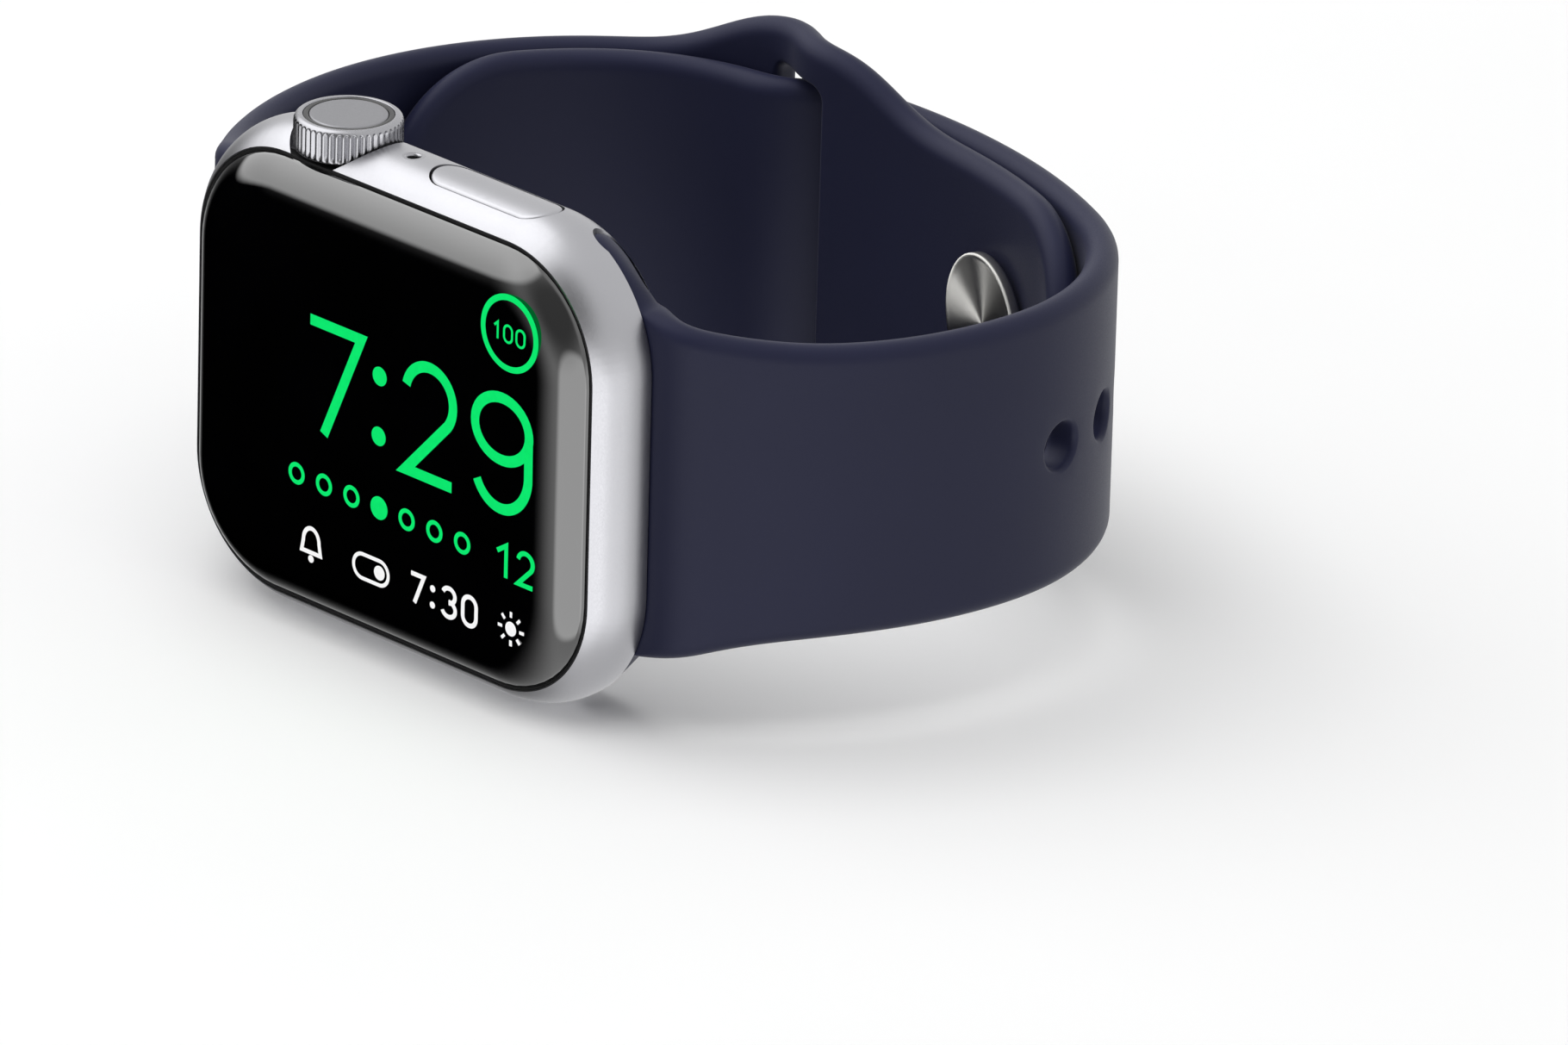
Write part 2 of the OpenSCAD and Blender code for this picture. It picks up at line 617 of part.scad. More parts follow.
module crown_clip() color([0.5, 0.5, 0.52]) crown_at()
    translate([0, 0, bush_end + 0.51]) tube(shaft_d + 1, shaft_d - 0.46, 0.3);

module crown_bushing() color([0.66, 0.6, 0.42]) crown_at() difference() {
    translate([0, 0, scallop_y]) cylinder(d = bush_d, h = bush_end - scallop_y);
    translate([0, 0, scallop_y - 1]) cylinder(d = shaft_d + 2 * RUN_FIT, h = FAR);
    translate([0, 0, scallop_y + 0.4]) cylinder(d = shaft_d + 0.8, h = 0.6);
}

module crown_seal() color([0.05, 0.05, 0.05]) crown_at()
    translate([0, 0, scallop_y + 0.7]) rotate_extrude()
        translate([shaft_d / 2 + 0.2, 0]) circle(d = 0.34, $fn = 24);

module crown_encoder() color([0.1, 0.1, 0.12]) crown_at() {
    near = shaft_d / 2 + 0.15;
    translate([near, -1.4, bush_end + 1.2]) cube([0.9, 2.8, 1.3]);
    translate([near + 0.9, -1.2, bush_end + 0.4]) cube([0.15, 2.4, 2.6]);
}

module crown_thrust_pad() color([0.85, 0.85, 0.82]) crown_at()
    translate([0, 0, pad_y]) cylinder(d = shaft_d + 0.6, h = pad_t);

module crown_switch() color([0.75, 0.75, 0.76]) crown_at() {
    translate([0, 0, switch_y]) cylinder(d1 = 1.6, d2 = 2.4, h = 0.3);
    translate([-1.4, -1.4, switch_y + 0.3]) cube([2.8, 2.8, 0.4]);
}

// ---------------------------------------------------------------- the side button

module side_button() color("silver") on_side() {
    intersection() {
        case_outside();
        translate([button_x, 0, 0]) rotate([90, 0, 0]) pill(button_l, button_w, -button_foot, FAR);
    }
    difference() {
        translate([button_x, button_foot - 0.2, 0]) rotate([-90, 0, 0])
            cylinder(d = plunger_d, h = plunger_end - button_foot + 0.2);
        translate([button_x, plunger_end - 0.7, 0]) rotate([-90, 0, 0])
            tube(plunger_d + 1, plunger_d - 0.4, 0.32);
    }
}

module side_button_clip() color([0.5, 0.5, 0.52]) on_side()
    translate([button_x, plunger_end - 0.69, 0]) rotate([-90, 0, 0]) tube(plunger_d + 1, plunger_d - 0.36, 0.3);

module side_button_seal() color([0.05, 0.05, 0.05]) on_side()
    translate([button_x, wall_in + 0.2, 0]) rotate([-90, 0, 0]) rotate_extrude()
        translate([plunger_d / 2 + 0.21, 0]) circle(d = 0.36, $fn = 24);

module side_button_switch() color([0.75, 0.75, 0.76]) on_side() {
    translate([button_x, button_switch_y, 0]) rotate([-90, 0, 0]) cylinder(d1 = 1.4, d2 = 2.2, h = 0.3);
    box(button_x - 1.3, button_x + 1.3, button_switch_y + 0.3, button_switch_y + 0.7, -1.3, 0.2);
}

// The sheet bracket that holds both switches
module button_bracket() color([0.6, 0.6, 0.62]) on_side() {
    y0 = switch_y + 0.7;
    y1 = button_switch_y + 0.7;
    z1 = board_y - 0.5;
    box(-crown_x - 2, -crown_x + 2.4, y0, y0 + 0.2, -1.5, z1);
    box(-crown_x + 2.2, -crown_x + 2.4, min(y0, y1), max(y0, y1) + 0.2, -1.5, z1);
    box(-crown_x + 2.2, button_x + 2, y1, y1 + 0.2, -1.5, z1);
}

// ---------------------------------------------------------------- the strap, drawn round its middle height

// A flat band w wide that follows runs n0 to n1 of a path
module band(path, n0, n1, w) {
    t = trail(path, lug_pose);
    i0 = all_steps(first(path, n0));
    i1 = all_steps(first(path, n1));
    translate([0, 0, -w / 2]) linear_extrude(w) polygon(concat(
        [for (i = [i0:1:i1]) beside(t[i], strap_t / 2)],
        [for (i = [i1:-1:i0]) beside(t[i], -strap_t / 2)]));
}

module strap_at() translate([0, 0, mid_z]) children();

// Puts a piece at a pose of the strap, Z pointing out of the loop
module on_strap(p) translate([p[0], p[1], 0]) rotate(p[2]) rotate([90, 0, 0]) children();

// The lug that slides in the case, and the flare down to the strap's own width
module lug_end(path) {
    intersection() {
        union() {
            translate([lug_x, lug_y, -FAR / 2]) cylinder(d = lug_d, h = FAR);
            band(path, 0, 1, FAR);
        }
        rotate([-90, 0, 0]) block(case_l - 1, case_w - 1, case_corner_r - 0.5, -FAR, FAR);
    }
    intersection() {
        band(path, 0, 3, 2 * flare_half);
        translate([0, FAR, 0]) rotate([90, 0, 0]) linear_extrude(2 * FAR) flare_outline();
    }
}

module flare_outline() difference() {
    translate([0, -FAR / 2]) square([flare_end, FAR]);
    for (s = [-1, 1]) translate([flare_end, s * (strap_w / 2 + flare_r)]) circle(r = flare_r, $fn = 144);
}

core_half = 9;
// The room for the metal core, the catch and its spring inside a lug
module lug_pocket() {
    core_y = lug_y - lug_d / 2 + 0.35;
    translate([lug_x - 0.8, core_y, -core_half]) cube([1.6, CORE_T, 2 * core_half]);
    translate([lug_x, 0, 0]) rotate([0, 90, 0]) rotate([-90, 0, 0])
        pill(release_l + 0.1, release_w + 0.1, core_y + CORE_T / 2, lug_y + lug_d);
}

module strap_short() color([0.17, 0.18, 0.26]) strap_at() mirror([1, 0, 0]) {
    cross = ahead(pose(short_outer, lug_pose), [weave_l / 2, 0]);
    stud = at(short_path, run_length(short_outer) + run_length(weave_runs) + stud_run_in, lug_pose);
    difference() {
        union() {
            lug_end(short_path);
            band(short_path, 0, len(short_path), strap_w);
            intersection() {
                band(short_path, 4, len(short_path), keeper_d);
                on_strap(cross) translate([0, 0, -FAR / 4]) cylinder(d = keeper_d, h = FAR / 2);
            }
        }
        lug_pocket();
        on_strap(cross) translate([-slot_l / 2, -slot_w / 2, -FAR / 4]) cube([slot_l, slot_w, FAR / 2]);
        on_strap(stud) translate([0, 0, -FAR / 8]) cylinder(d = stud_pin_d + 0.04, h = FAR / 4);
        tip_cut(short_path);
    }
}

module strap_long() color([0.17, 0.18, 0.26]) strap_at() difference() {
    union() {
        lug_end(long_path);
        band(long_path, 0, len(long_path), strap_w);
    }
    lug_pocket();
    for (k = [-holes_before:holes_after])
        on_strap(at(long_path, stud_at + k * hole_pitch, lug_pose))
            translate([0, 0, -FAR / 8]) cylinder(d = hole_d, h = FAR / 4);
    tip_cut(long_path);
}

// What rounds off the free end of a strap half
module tip_cut(path) on_strap(at(path, run_length(path) - strap_w / 2, lug_pose)) difference() {
    translate([0, -FAR / 4, -FAR / 8]) cube([FAR / 4, FAR / 2, FAR / 4]);
    translate([0, 0, -FAR / 4]) cylinder(d = strap_w, h = FAR / 2);
}

// The stud: a disc inside the loop, and a pin with a round cap through both layers
stud_pose = at(long_path, stud_at, lug_pose);

module stud_disc() color([0.7, 0.7, 0.7]) strap_at() on_strap(stud_pose)
    translate([0, 0, -strap_t / 2 - layer - STUD_GAP - DISC_T]) difference() {
        cylinder(d = stud_d, h = DISC_T);
        translate([0, 0, DISC_T / 2]) cylinder(d = stud_pin_d - 1, h = DISC_T);
    }

module stud_pin() color([0.72, 0.72, 0.72]) strap_at() on_strap(stud_pose) {
    foot = -strap_t / 2 - layer - STUD_GAP + SEAT_GAP;
    top = strap_t / 2 + 0.12;
    translate([0, 0, foot]) cylinder(d = stud_pin_d, h = top - foot + 0.1);
    translate([0, 0, foot - DISC_T / 2 + 0.05]) cylinder(d = stud_pin_d - 1.04, h = DISC_T / 2);
    translate([0, 0, top]) cylinder(d1 = hole_d + 0.6, d2 = hole_d + 2, h = 0.3);
    translate([0, 0, top + 0.3]) cylinder(d1 = hole_d + 2, d2 = hole_d - 0.6, h = PIN_CAP_T - 0.3);
}

module lug_core() color([0.6, 0.6, 0.62]) strap_at()
    translate([lug_x - 0.78, lug_y - lug_d / 2 + 0.37, -core_half + 0.02]) difference() {
        cube([1.56, CORE_T - 0.04, 2 * core_half - 0.04]);
        translate([-1, CORE_T / 2 - 0.02, core_half - release_l / 2 - 0.06]) cube([4, CORE_T, release_l + 0.1]);
    }

module lug_core_12() mirror([1, 0, 0]) lug_core();

module lug_core_6() lug_core();

catch_y = release_y - 0.02;
spring_y = lug_y - lug_d / 2 + 0.37 + CORE_T / 2;

// The catch that stands up into the case's hole, under the release button
module lug_catch() color([0.65, 0.65, 0.66]) on_side() translate([lug_x, 0, 0]) rotate(90)
    pill(release_l - 0.1, release_w - 0.1, catch_y - 0.8, catch_y);

module lug_catch_12() mirror([1, 0, 0]) lug_catch();

module lug_catch_6() lug_catch();

module lug_spring() color([0.75, 0.75, 0.76]) on_side()
    for (y = [spring_y + 0.1:0.26:catch_y - 0.9]) for (s = [-1, 1]) translate([lug_x, s * 0.75, y]) rotate_extrude()
        translate([0.4, 0]) circle(d = 0.16, $fn = 16);

module lug_spring_12() mirror([1, 0, 0]) lug_spring();

module lug_spring_6() lug_spring();

case_body();
cover_glass();
glass_gasket();
display_panel();
display_flex();
main_board();
board_screws();
battery();
battery_flex();
haptic_housing();
haptic_mass();
haptic_springs();
speaker_module();
speaker_mesh();
microphone();
mic_mesh();
back_plate();
back_gasket();
sensor_crystal();
sensor_board();
charging_coil();
charging_magnet();
crown_barrel();
crown_disc();
crown_ring();
crown_shaft();
crown_clip();
crown_bushing();
crown_seal();
crown_encoder();
crown_thrust_pad();
crown_switch();
side_button();
side_button_clip();
side_button_seal();
side_button_switch();
button_bracket();
release_button_12();
release_button_6();
strap_short();
strap_long();
stud_disc();
stud_pin();
lug_core_12();
lug_core_6();
lug_catch_12();
lug_catch_6();
lug_spring_12();
lug_spring_6();
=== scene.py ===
"""The looks of a smartwatch that lies on its side, its strap fastened in a loop behind it.

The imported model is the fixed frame. X runs from 12 o'clock to 6 o'clock, Y from the display to the
wrist and Z up through the crown. Each operator makes or finishes one piece or one group of pieces.
"""

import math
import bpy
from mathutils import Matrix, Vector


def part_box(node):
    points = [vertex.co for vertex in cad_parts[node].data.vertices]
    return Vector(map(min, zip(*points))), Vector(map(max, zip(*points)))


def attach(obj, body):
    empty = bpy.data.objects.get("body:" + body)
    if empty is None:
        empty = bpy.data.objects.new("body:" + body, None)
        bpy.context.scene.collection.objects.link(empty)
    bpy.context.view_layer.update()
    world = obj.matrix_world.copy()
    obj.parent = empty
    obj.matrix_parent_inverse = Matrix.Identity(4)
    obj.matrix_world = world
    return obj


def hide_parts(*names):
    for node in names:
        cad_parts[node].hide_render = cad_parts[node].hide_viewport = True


bl_info = {
    "name": "Smartwatch",
    "version": (1, 0, 0),
    "blender": (4, 5, 0),
    "location": "3D View > Sidebar > Smartwatch",
    "description": "Builds the visible pieces of a smartwatch round its packed model",
    "category": "Object",
}

import bmesh
import bpy
import numpy as np
from mathutils import Matrix, Vector
from mathutils.geometry import delaunay_2d_cdt

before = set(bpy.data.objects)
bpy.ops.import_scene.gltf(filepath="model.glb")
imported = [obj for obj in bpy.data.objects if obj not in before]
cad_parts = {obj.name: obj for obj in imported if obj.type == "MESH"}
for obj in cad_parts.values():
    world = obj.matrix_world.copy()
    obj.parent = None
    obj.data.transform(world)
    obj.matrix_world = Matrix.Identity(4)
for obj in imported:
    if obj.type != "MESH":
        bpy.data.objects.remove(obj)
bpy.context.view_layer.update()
MM = 0.001


def middle(node):
    """The middle of a node's box."""
    low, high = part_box(node)
    return (low + high) / 2


def extent(node):
    """The size of a node's box."""
    low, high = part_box(node)
    return high - low


CASE = extent("case_body")
GLASS_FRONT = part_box("cover_glass")[0].y
MID_Z = middle("strap_long").z
CASE_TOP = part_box("case_body")[1].z
CASE_HALF_W = CASE_TOP - MID_Z
CROWN_AXIS = middle("crown_disc")
BUTTON = middle("side_button")
CRYSTAL_R = extent("sensor_crystal").x / 2
# The corner radius of the glass, how far its edge rolls in, and how deep it rolls
GLASS_R = 7.76 * MM
GLASS_CURVE = 3.6 * MM
GLASS_RISE = 1.75 * MM


# ---------------------------------------------------------------- sizes and colours

def linear(hex_colour):
    """A linear RGBA colour from an sRGB hex value."""
    channels = [int(hex_colour[i:i + 2], 16) / 255 for i in (1, 3, 5)]
    return [c / 12.92 if c <= 0.04045 else ((c + 0.055) / 1.055) ** 2.4 for c in channels] + [1]


def length(name, description, millimetres):
    """A length that a user can change."""
    return bpy.props.FloatProperty(name=name, description=description, default=millimetres * MM, min=0,
                                   unit="LENGTH", subtype="DISTANCE", precision=5)


def colour(name, description, hex_colour):
    """A colour that a user can change."""
    return bpy.props.FloatVectorProperty(name=name, description=description, size=3, min=0, max=1,
                                         default=linear(hex_colour)[:3], subtype="COLOR")


class StrapSizes(bpy.types.PropertyGroup):
    """The sizes of the two strap halves."""

    width: length("Width", "Width of the strap away from the case", 20)
    thickness: length("Thickness", "Thickness of one layer", 2.2)
    layer_gap: length("Layer gap", "Gap between the two layers behind the wrist", 0.15)
    edge: length("Edge", "How far the rounding of the long edges reaches in", 1.15)
    flare: length("Flare", "How much wider each side is where the strap meets the case", 2.1)
    keeper: length("Keeper", "How far the keeper stands out on each side", 3.5)
    keeper_reach: length("Keeper reach", "Distance over which the keeper fades into the strap", 9.2)
    hole: length("Hole", "Diameter of an adjustment hole at its narrowest", 3.2)
    hole_pitch: length("Hole pitch", "Distance from one adjustment hole to the next", 5.9)
    stud_at: length("Stud place", "Distance from the lug to the stud along the long half", 56.9)


class ControlSizes(bpy.types.PropertyGroup):
    """The sizes of the crown, the side button and the stud."""

    knurl_teeth: bpy.props.IntProperty(name="Knurl teeth", description="Number of teeth round the crown",
                                       default=48, min=12, max=90)
    knurl_depth: length("Knurl depth", "Depth of the grooves between the teeth", 0.17)
    crown_edge: length("Crown edge", "Width of the rounded edge in front of the knurl", 0.5)
    button_edge: length("Button edge", "Rounding of the side button's edge", 0.22)
    stud_dish: length("Stud dish", "How deep the stud's disc is dished", 0.28)
    stroke: length("Stroke", "Width of the strokes of the large digits", 0.76)


class FinishColours(bpy.types.PropertyGroup):
    """The colours of the surfaces that are seen."""

    strap: colour("Strap", "Fluoroelastomer of the strap", "#1E2038")
    case: colour("Case", "Anodised aluminium of the case", "#B4B4B8")
    crown: colour("Crown", "Anodised aluminium of the crown", "#ABABAF")
    stud: colour("Stud", "Spun steel of the stud", "#E0DFDB")
    display: colour("Display", "Large digits of the display", "#0DE26C")
    display_white: colour("Display white", "Alarm line of the display", "#F2F2F2")
    floor: colour("Floor", "Painted floor under the watch", "#FDFDFD")


class CameraView(bpy.types.PropertyGroup):
    """Where the camera stands."""

    azimuth: bpy.props.FloatProperty(name="Azimuth", description="Angle from the display's normal",
                                     default=math.radians(44.832), subtype="ANGLE")
    elevation: bpy.props.FloatProperty(name="Elevation", description="Angle above the floor",
                                       default=math.radians(22.534), subtype="ANGLE")
    roll: bpy.props.FloatProperty(name="Roll", description="Tilt of the camera about its own axis",
                                  default=math.radians(-1.617), subtype="ANGLE")
    distance: length("Distance", "Distance to the aim", 1100.3)
    aim: bpy.props.FloatVectorProperty(name="Aim", description="The point it looks at", size=3,
                                       default=(0.01947, 0.0136, 0.01109), subtype="XYZ")
    lens: bpy.props.FloatProperty(name="Lens", description="Focal length in millimetres", default=388,
                                  min=20, max=800)


def strap_sizes():
    """The strap's properties."""
    return bpy.context.scene.watch_strap


def control_sizes():
    """The properties of the crown, the side button and the stud."""
    return bpy.context.scene.watch_controls


def colours():
    """The colour properties."""
    return bpy.context.scene.watch_colours


# ---------------------------------------------------------------- materials

def add_node(tree, kind, settings=(), inputs=(), links=()):
    """Adds a node, sets its properties and input values, and links sockets into its inputs."""
    node = tree.nodes.new(kind)
    for name, value in dict(settings).items():
        setattr(node, name, value)
    for name, value in dict(inputs).items():
        node.inputs[name].default_value = value
    for name, socket in dict(links).items():
        tree.links.new(socket, node.inputs[name])
    return node


def start_material(name, **inputs):
    """A new material with one Principled shader, and that shader's node."""
    made = bpy.data.materials.new(name)
    made.use_nodes = True
    shader = made.node_tree.nodes["Principled BSDF"]
    for key, value in inputs.items():
        shader.inputs[key.replace("_", " ")].default_value = value
    return made, made.node_tree, shader


def grain(tree, size_mm):
    """A noise socket in object space whose grains are about size_mm wide."""
    place = add_node(tree, "ShaderNodeTexCoord")
    return add_node(tree, "ShaderNodeTexNoise", {"noise_dimensions": "3D"},
                    {"Scale": 1 / (size_mm * MM), "Detail": 2.0},
                    {"Vector": place.outputs["Object"]}).outputs["Fac"]


def spread(tree, socket, low, high, low_in=0.3, high_in=0.7):
    """Maps a noise value onto the range from low to high."""
    return add_node(tree, "ShaderNodeMapRange", (),
                    {"From Min": low_in, "From Max": high_in, "To Min": low, "To Max": high},
                    {"Value": socket}).outputs["Result"]


def emboss(tree, shader, height, depth_mm, strength):
    """Bump of depth_mm from a height socket onto the shader."""
    bump = add_node(tree, "ShaderNodeBump", (), {"Distance": depth_mm * MM, "Strength": strength},
                    {"Height": height})
    tree.links.new(bump.outputs["Normal"], shader.inputs["Normal"])


def blend_colours(tree, factor, first, second):
    """A colour between two linear colours."""
    mix = add_node(tree, "ShaderNodeMix", {"data_type": "RGBA"}, (), {"Factor": factor})
    mix.inputs["A"].default_value, mix.inputs["B"].default_value = first, second
    return mix.outputs["Result"]


def tinted(tree, shader, noise, first, second, socket="Base Color"):
    """Lets a noise wander between two linear colours on the shader."""
    tree.links.new(blend_colours(tree, spread(tree, noise, 0, 1), first, second), shader.inputs[socket])


def roughened(tree, shader, noise, low, high):
    """Lets a noise wander between two roughnesses on the shader."""
    tree.links.new(spread(tree, noise, low, high), shader.inputs["Roughness"])


def full(channels):
    """A colour property as RGBA."""
    return list(channels) + [1]


def shade(colour, factor):
    """A linear colour made darker or lighter."""
    return [c * factor for c in colour[:3]] + [1]


def aluminium_bead_blasted():
    """Anodised aluminium, blasted with fine glass beads: a soft, even sheen with no direction."""
    made, tree, shader = start_material("aluminium_bead_blasted", Metallic=1.0, Roughness=0.36)
    base = full(colours().case)
    # Bead marks are about 0.05 mm wide; they are drawn at 0.12 mm, so that they show
    beads = grain(tree, 0.12)
    tinted(tree, shader, grain(tree, 6), shade(base, 0.97), base)
    roughened(tree, shader, beads, 0.32, 0.40)
    emboss(tree, shader, beads, 0.004, 0.5)
    return made


def aluminium_turned():
    """Anodised aluminium, turned and knurled: tighter highlights than on the blasted case."""
    made, tree, shader = start_material("aluminium_turned", Metallic=1.0, Roughness=0.28)
    base = full(colours().crown)
    beads = grain(tree, 0.15)
    tinted(tree, shader, beads, shade(base, 0.95), base)
    roughened(tree, shader, beads, 0.25, 0.33)
    return made


def aluminium_satin():
    """Anodised aluminium, faced and finely blasted: the greyer disc in the end of the crown."""
    made, tree, shader = start_material("aluminium_satin", Metallic=1.0, Roughness=0.4)
    base = shade(full(colours().crown), 0.78)
    beads = grain(tree, 0.1)
    tinted(tree, shader, beads, shade(base, 0.92), base)
    emboss(tree, shader, beads, 0.003, 0.5)
    return made


def steel_spun():
    """Stainless steel, faced on a lathe: ring marks that pull each highlight into a fan."""
    made, tree, shader = start_material("steel_spun", Metallic=1.0, Roughness=0.5, Anisotropic=0.95)
    shader.inputs["Base Color"].default_value = full(colours().stud)
    tangent = add_node(tree, "ShaderNodeTangent", {"direction_type": "RADIAL", "axis": "Z"})
    tree.links.new(tangent.outputs["Tangent"], shader.inputs["Tangent"])
    place = add_node(tree, "ShaderNodeTexCoord")
    # Turning marks are about 0.05 mm apart; they are drawn 0.15 mm apart, so that they show
    marks = add_node(tree, "ShaderNodeTexWave", {"wave_type": "RINGS", "rings_direction": "Z"},
                     {"Scale": 1 / (2 * 0.15 * MM), "Distortion": 0.4},
                     {"Vector": place.outputs["Object"]})
    tree.links.new(spread(tree, marks.outputs["Fac"], 0.46, 0.54, 0, 1), shader.inputs["Roughness"])
    return made


def glass_black_printed():
    """Sapphire glass, coated, with black ink printed behind it: deep black under a hard clear gloss."""
    made, tree, shader = start_material("glass_black_printed", Roughness=0.03, IOR=1.77, Coat_Weight=1.0,
                                        Coat_Roughness=0.03, Coat_IOR=1.7)
    tinted(tree, shader, grain(tree, 9), linear("#010101"), linear("#020203"))
    return made


def fluoroelastomer_moulded():
    """Fluoroelastomer from a finely etched mould: dense, soft to the touch, with a broad dull sheen."""
    made, tree, shader = start_material("fluoroelastomer_moulded", IOR=1.42, Specular_IOR_Level=0.28,
                                        Sheen_Weight=0.06, Sheen_Roughness=0.4)
    base = full(colours().strap)
    # The etched grain is about 0.03 mm wide; it is drawn at 0.09 mm, so that it shows
    etching = grain(tree, 0.09)
    tinted(tree, shader, grain(tree, 14), shade(base, 0.94), shade(base, 1.05))
    roughened(tree, shader, etching, 0.46, 0.56)
    emboss(tree, shader, etching, 0.003, 0.4)
    return made


def plain_finish(name, colour, roughness, metallic, grain_mm):
    """A finish whose grain changes its tint and roughness a little."""
    made, tree, shader = start_material(name, Metallic=metallic)
    noise, base = grain(tree, grain_mm), linear(colour)
    tinted(tree, shader, noise, shade(base, 0.9), base)
    roughened(tree, shader, noise, roughness * 0.85, roughness * 1.15)
    emboss(tree, shader, noise, 0.003, 0.4)
    return made


def oled_light(name, channels):
    """Organic light-emitting diodes close behind the glass: they glow evenly and reflect nothing."""
    made, tree, shader = start_material(name, Roughness=0.6, IOR=1.5, Specular_IOR_Level=0.0,
                                        Emission_Strength=1.0)
    glow = full(channels)
    shader.inputs["Base Color"].default_value = shade(glow, 0.1)
    # The diodes are 0.08 mm apart; their unevenness is drawn at 0.4 mm, so that it shows at all
    tinted(tree, shader, grain(tree, 0.4), glow, shade(glow, 0.93), "Emission Color")
    return made


def ceramic_ringed():
    """Dark glazed crystal with the printed rings and round windows of the sensors under its gloss."""
    made, tree, shader = start_material("ceramic_ringed", Roughness=0.06, IOR=1.76)
    place = add_node(tree, "ShaderNodeTexCoord")
    flat = add_node(tree, "ShaderNodeVectorMath", {"operation": "MULTIPLY"}, (),
                    {0: place.outputs["Object"]})
    flat.inputs[1].default_value = (1, 1, 0)
    far = add_node(tree, "ShaderNodeVectorMath", {"operation": "LENGTH"}, (), {0: flat.outputs[0]})
    bands = add_node(tree, "ShaderNodeMapRange", (), {"From Max": CRYSTAL_R}, {"Value": far.outputs["Value"]})
    ramp = add_node(tree, "ShaderNodeValToRGB", (), (), {"Fac": bands.outputs["Result"]})
    ramp.color_ramp.interpolation = "CONSTANT"
    stops = ((0, "#141418"), (0.2, "#26262C"), (0.23, "#101014"), (0.5, "#2E2E34"), (0.52, "#121216"),
             (0.74, "#8E8E90"), (0.92, "#121216"))
    while len(ramp.color_ramp.elements) < len(stops):
        ramp.color_ramp.elements.new(1)
    for element, (at, hex_colour) in zip(ramp.color_ramp.elements, stops):
        element.position, element.color = at, linear(hex_colour)
    tree.links.new(ramp.outputs["Color"], shader.inputs["Base Color"])
    return made


# Name of each remaining finish: colour, roughness, metallic, and the width of its grain in millimetres
SIMPLE_FINISHES = {
    "nitrile_moulded": ("#101011", 0.6, 0.0, 0.2),
    "ceramic_polished": ("#17171B", 0.16, 0.0, 4.0),
    "zirconia_gloss": ("#050506", 0.2, 0.0, 3.0),
    "steel_turned": ("#B9B9BC", 0.3, 1.0, 0.2),
    "polyimide_film": ("#B98A2C", 0.3, 0.0, 1.5),
    "solder_mask": ("#1E4A33", 0.35, 0.0, 0.8),
    "pouch_wrapped": ("#2A2B2E", 0.45, 0.0, 0.6),
    "tungsten_sintered": ("#5C5D61", 0.4, 1.0, 0.15),
    "nylon_moulded": ("#1B1C1F", 0.5, 0.0, 0.25),
    "mesh_woven": ("#26262A", 0.5, 1.0, 0.12),
    "brass_plated": ("#B7A56C", 0.3, 1.0, 0.2),
    "copper_wound": ("#C77B45", 0.3, 1.0, 0.15),
    "nickel_plated": ("#A8A8A4", 0.25, 1.0, 0.2),
    "acetal_machined": ("#D8D4C4", 0.4, 0.0, 0.3),
}
SHAPED_FINISHES = {made.__name__: made for made in (
    aluminium_bead_blasted, aluminium_turned, aluminium_satin, steel_spun, glass_black_printed,
    fluoroelastomer_moulded, ceramic_ringed)}


def finish(name):
    """The material of that name, made when it is first asked for."""
    if name in bpy.data.materials:
        return bpy.data.materials[name]
    if name in SHAPED_FINISHES:
        return SHAPED_FINISHES[name]()
    return plain_finish(name, *SIMPLE_FINISHES[name])


def refinish(nodes, name):
    """Gives CAD nodes a finish."""
    for node in nodes:
        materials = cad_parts[node].data.materials
        materials.clear()
        materials.append(finish(name))


# ---------------------------------------------------------------- mesh tools

def add_piece(name, vertices, faces, material, body, slot, replaced=(), place=None, sharp=None):
    """Makes a closed mesh object that rides on a body. Edges that turn more than sharp degrees stay crisp."""
    mesh = bpy.data.meshes.new(name)
    mesh.from_pydata([tuple(v) for v in vertices], [], [tuple(int(i) for i in f) for f in faces])
    shape = bmesh.new()
    shape.from_mesh(mesh)
    bmesh.ops.remove_doubles(shape, verts=shape.verts, dist=0.0005 * MM)
    bmesh.ops.recalc_face_normals(shape, faces=shape.faces)
    shape.to_mesh(mesh)
    shape.free()
    mesh.shade_smooth()
    if sharp:
        mesh.set_sharp_from_angle(angle=math.radians(sharp))
    mesh.materials.append(material)
    piece = bpy.data.objects.new(name, mesh)
    bpy.context.scene.collection.objects.link(piece)
    if place is not None:
        piece.matrix_world = place
    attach(piece, body)
    if replaced:
        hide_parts(*replaced)
    return piece


def joined(parts):
    """Vertices and faces of several shapes as one."""
    vertices, faces = [], []
    for more, sides in parts:
        first = len(vertices)
        vertices += [tuple(v) for v in more]
        faces += [tuple(first + i for i in side) for side in sides]
    return vertices, faces


def inset(loop, distance):
    """Moves each point of a closed loop to its left by a distance."""
    along = np.roll(loop, -1, 0) - np.roll(loop, 1, 0)
    along /= np.linalg.norm(along, axis=1)[:, None]
    return loop + np.stack([-along[:, 1], along[:, 0]], 1) * np.reshape(distance, (-1, 1))


def inside(points, loop):
    """Which points lie inside a closed loop."""
    x, y = points[:, :1], points[:, 1:]
    x0, y0 = loop[:, 0], loop[:, 1]
    x1, y1 = np.roll(x0, -1), np.roll(y0, -1)
    crosses = (y0 > y) != (y1 > y)
    at = x0 + (y - y0) * (x1 - x0) / np.where(y1 == y0, 1, y1 - y0)
    return (crosses & (x < at)).sum(1) % 2 == 1


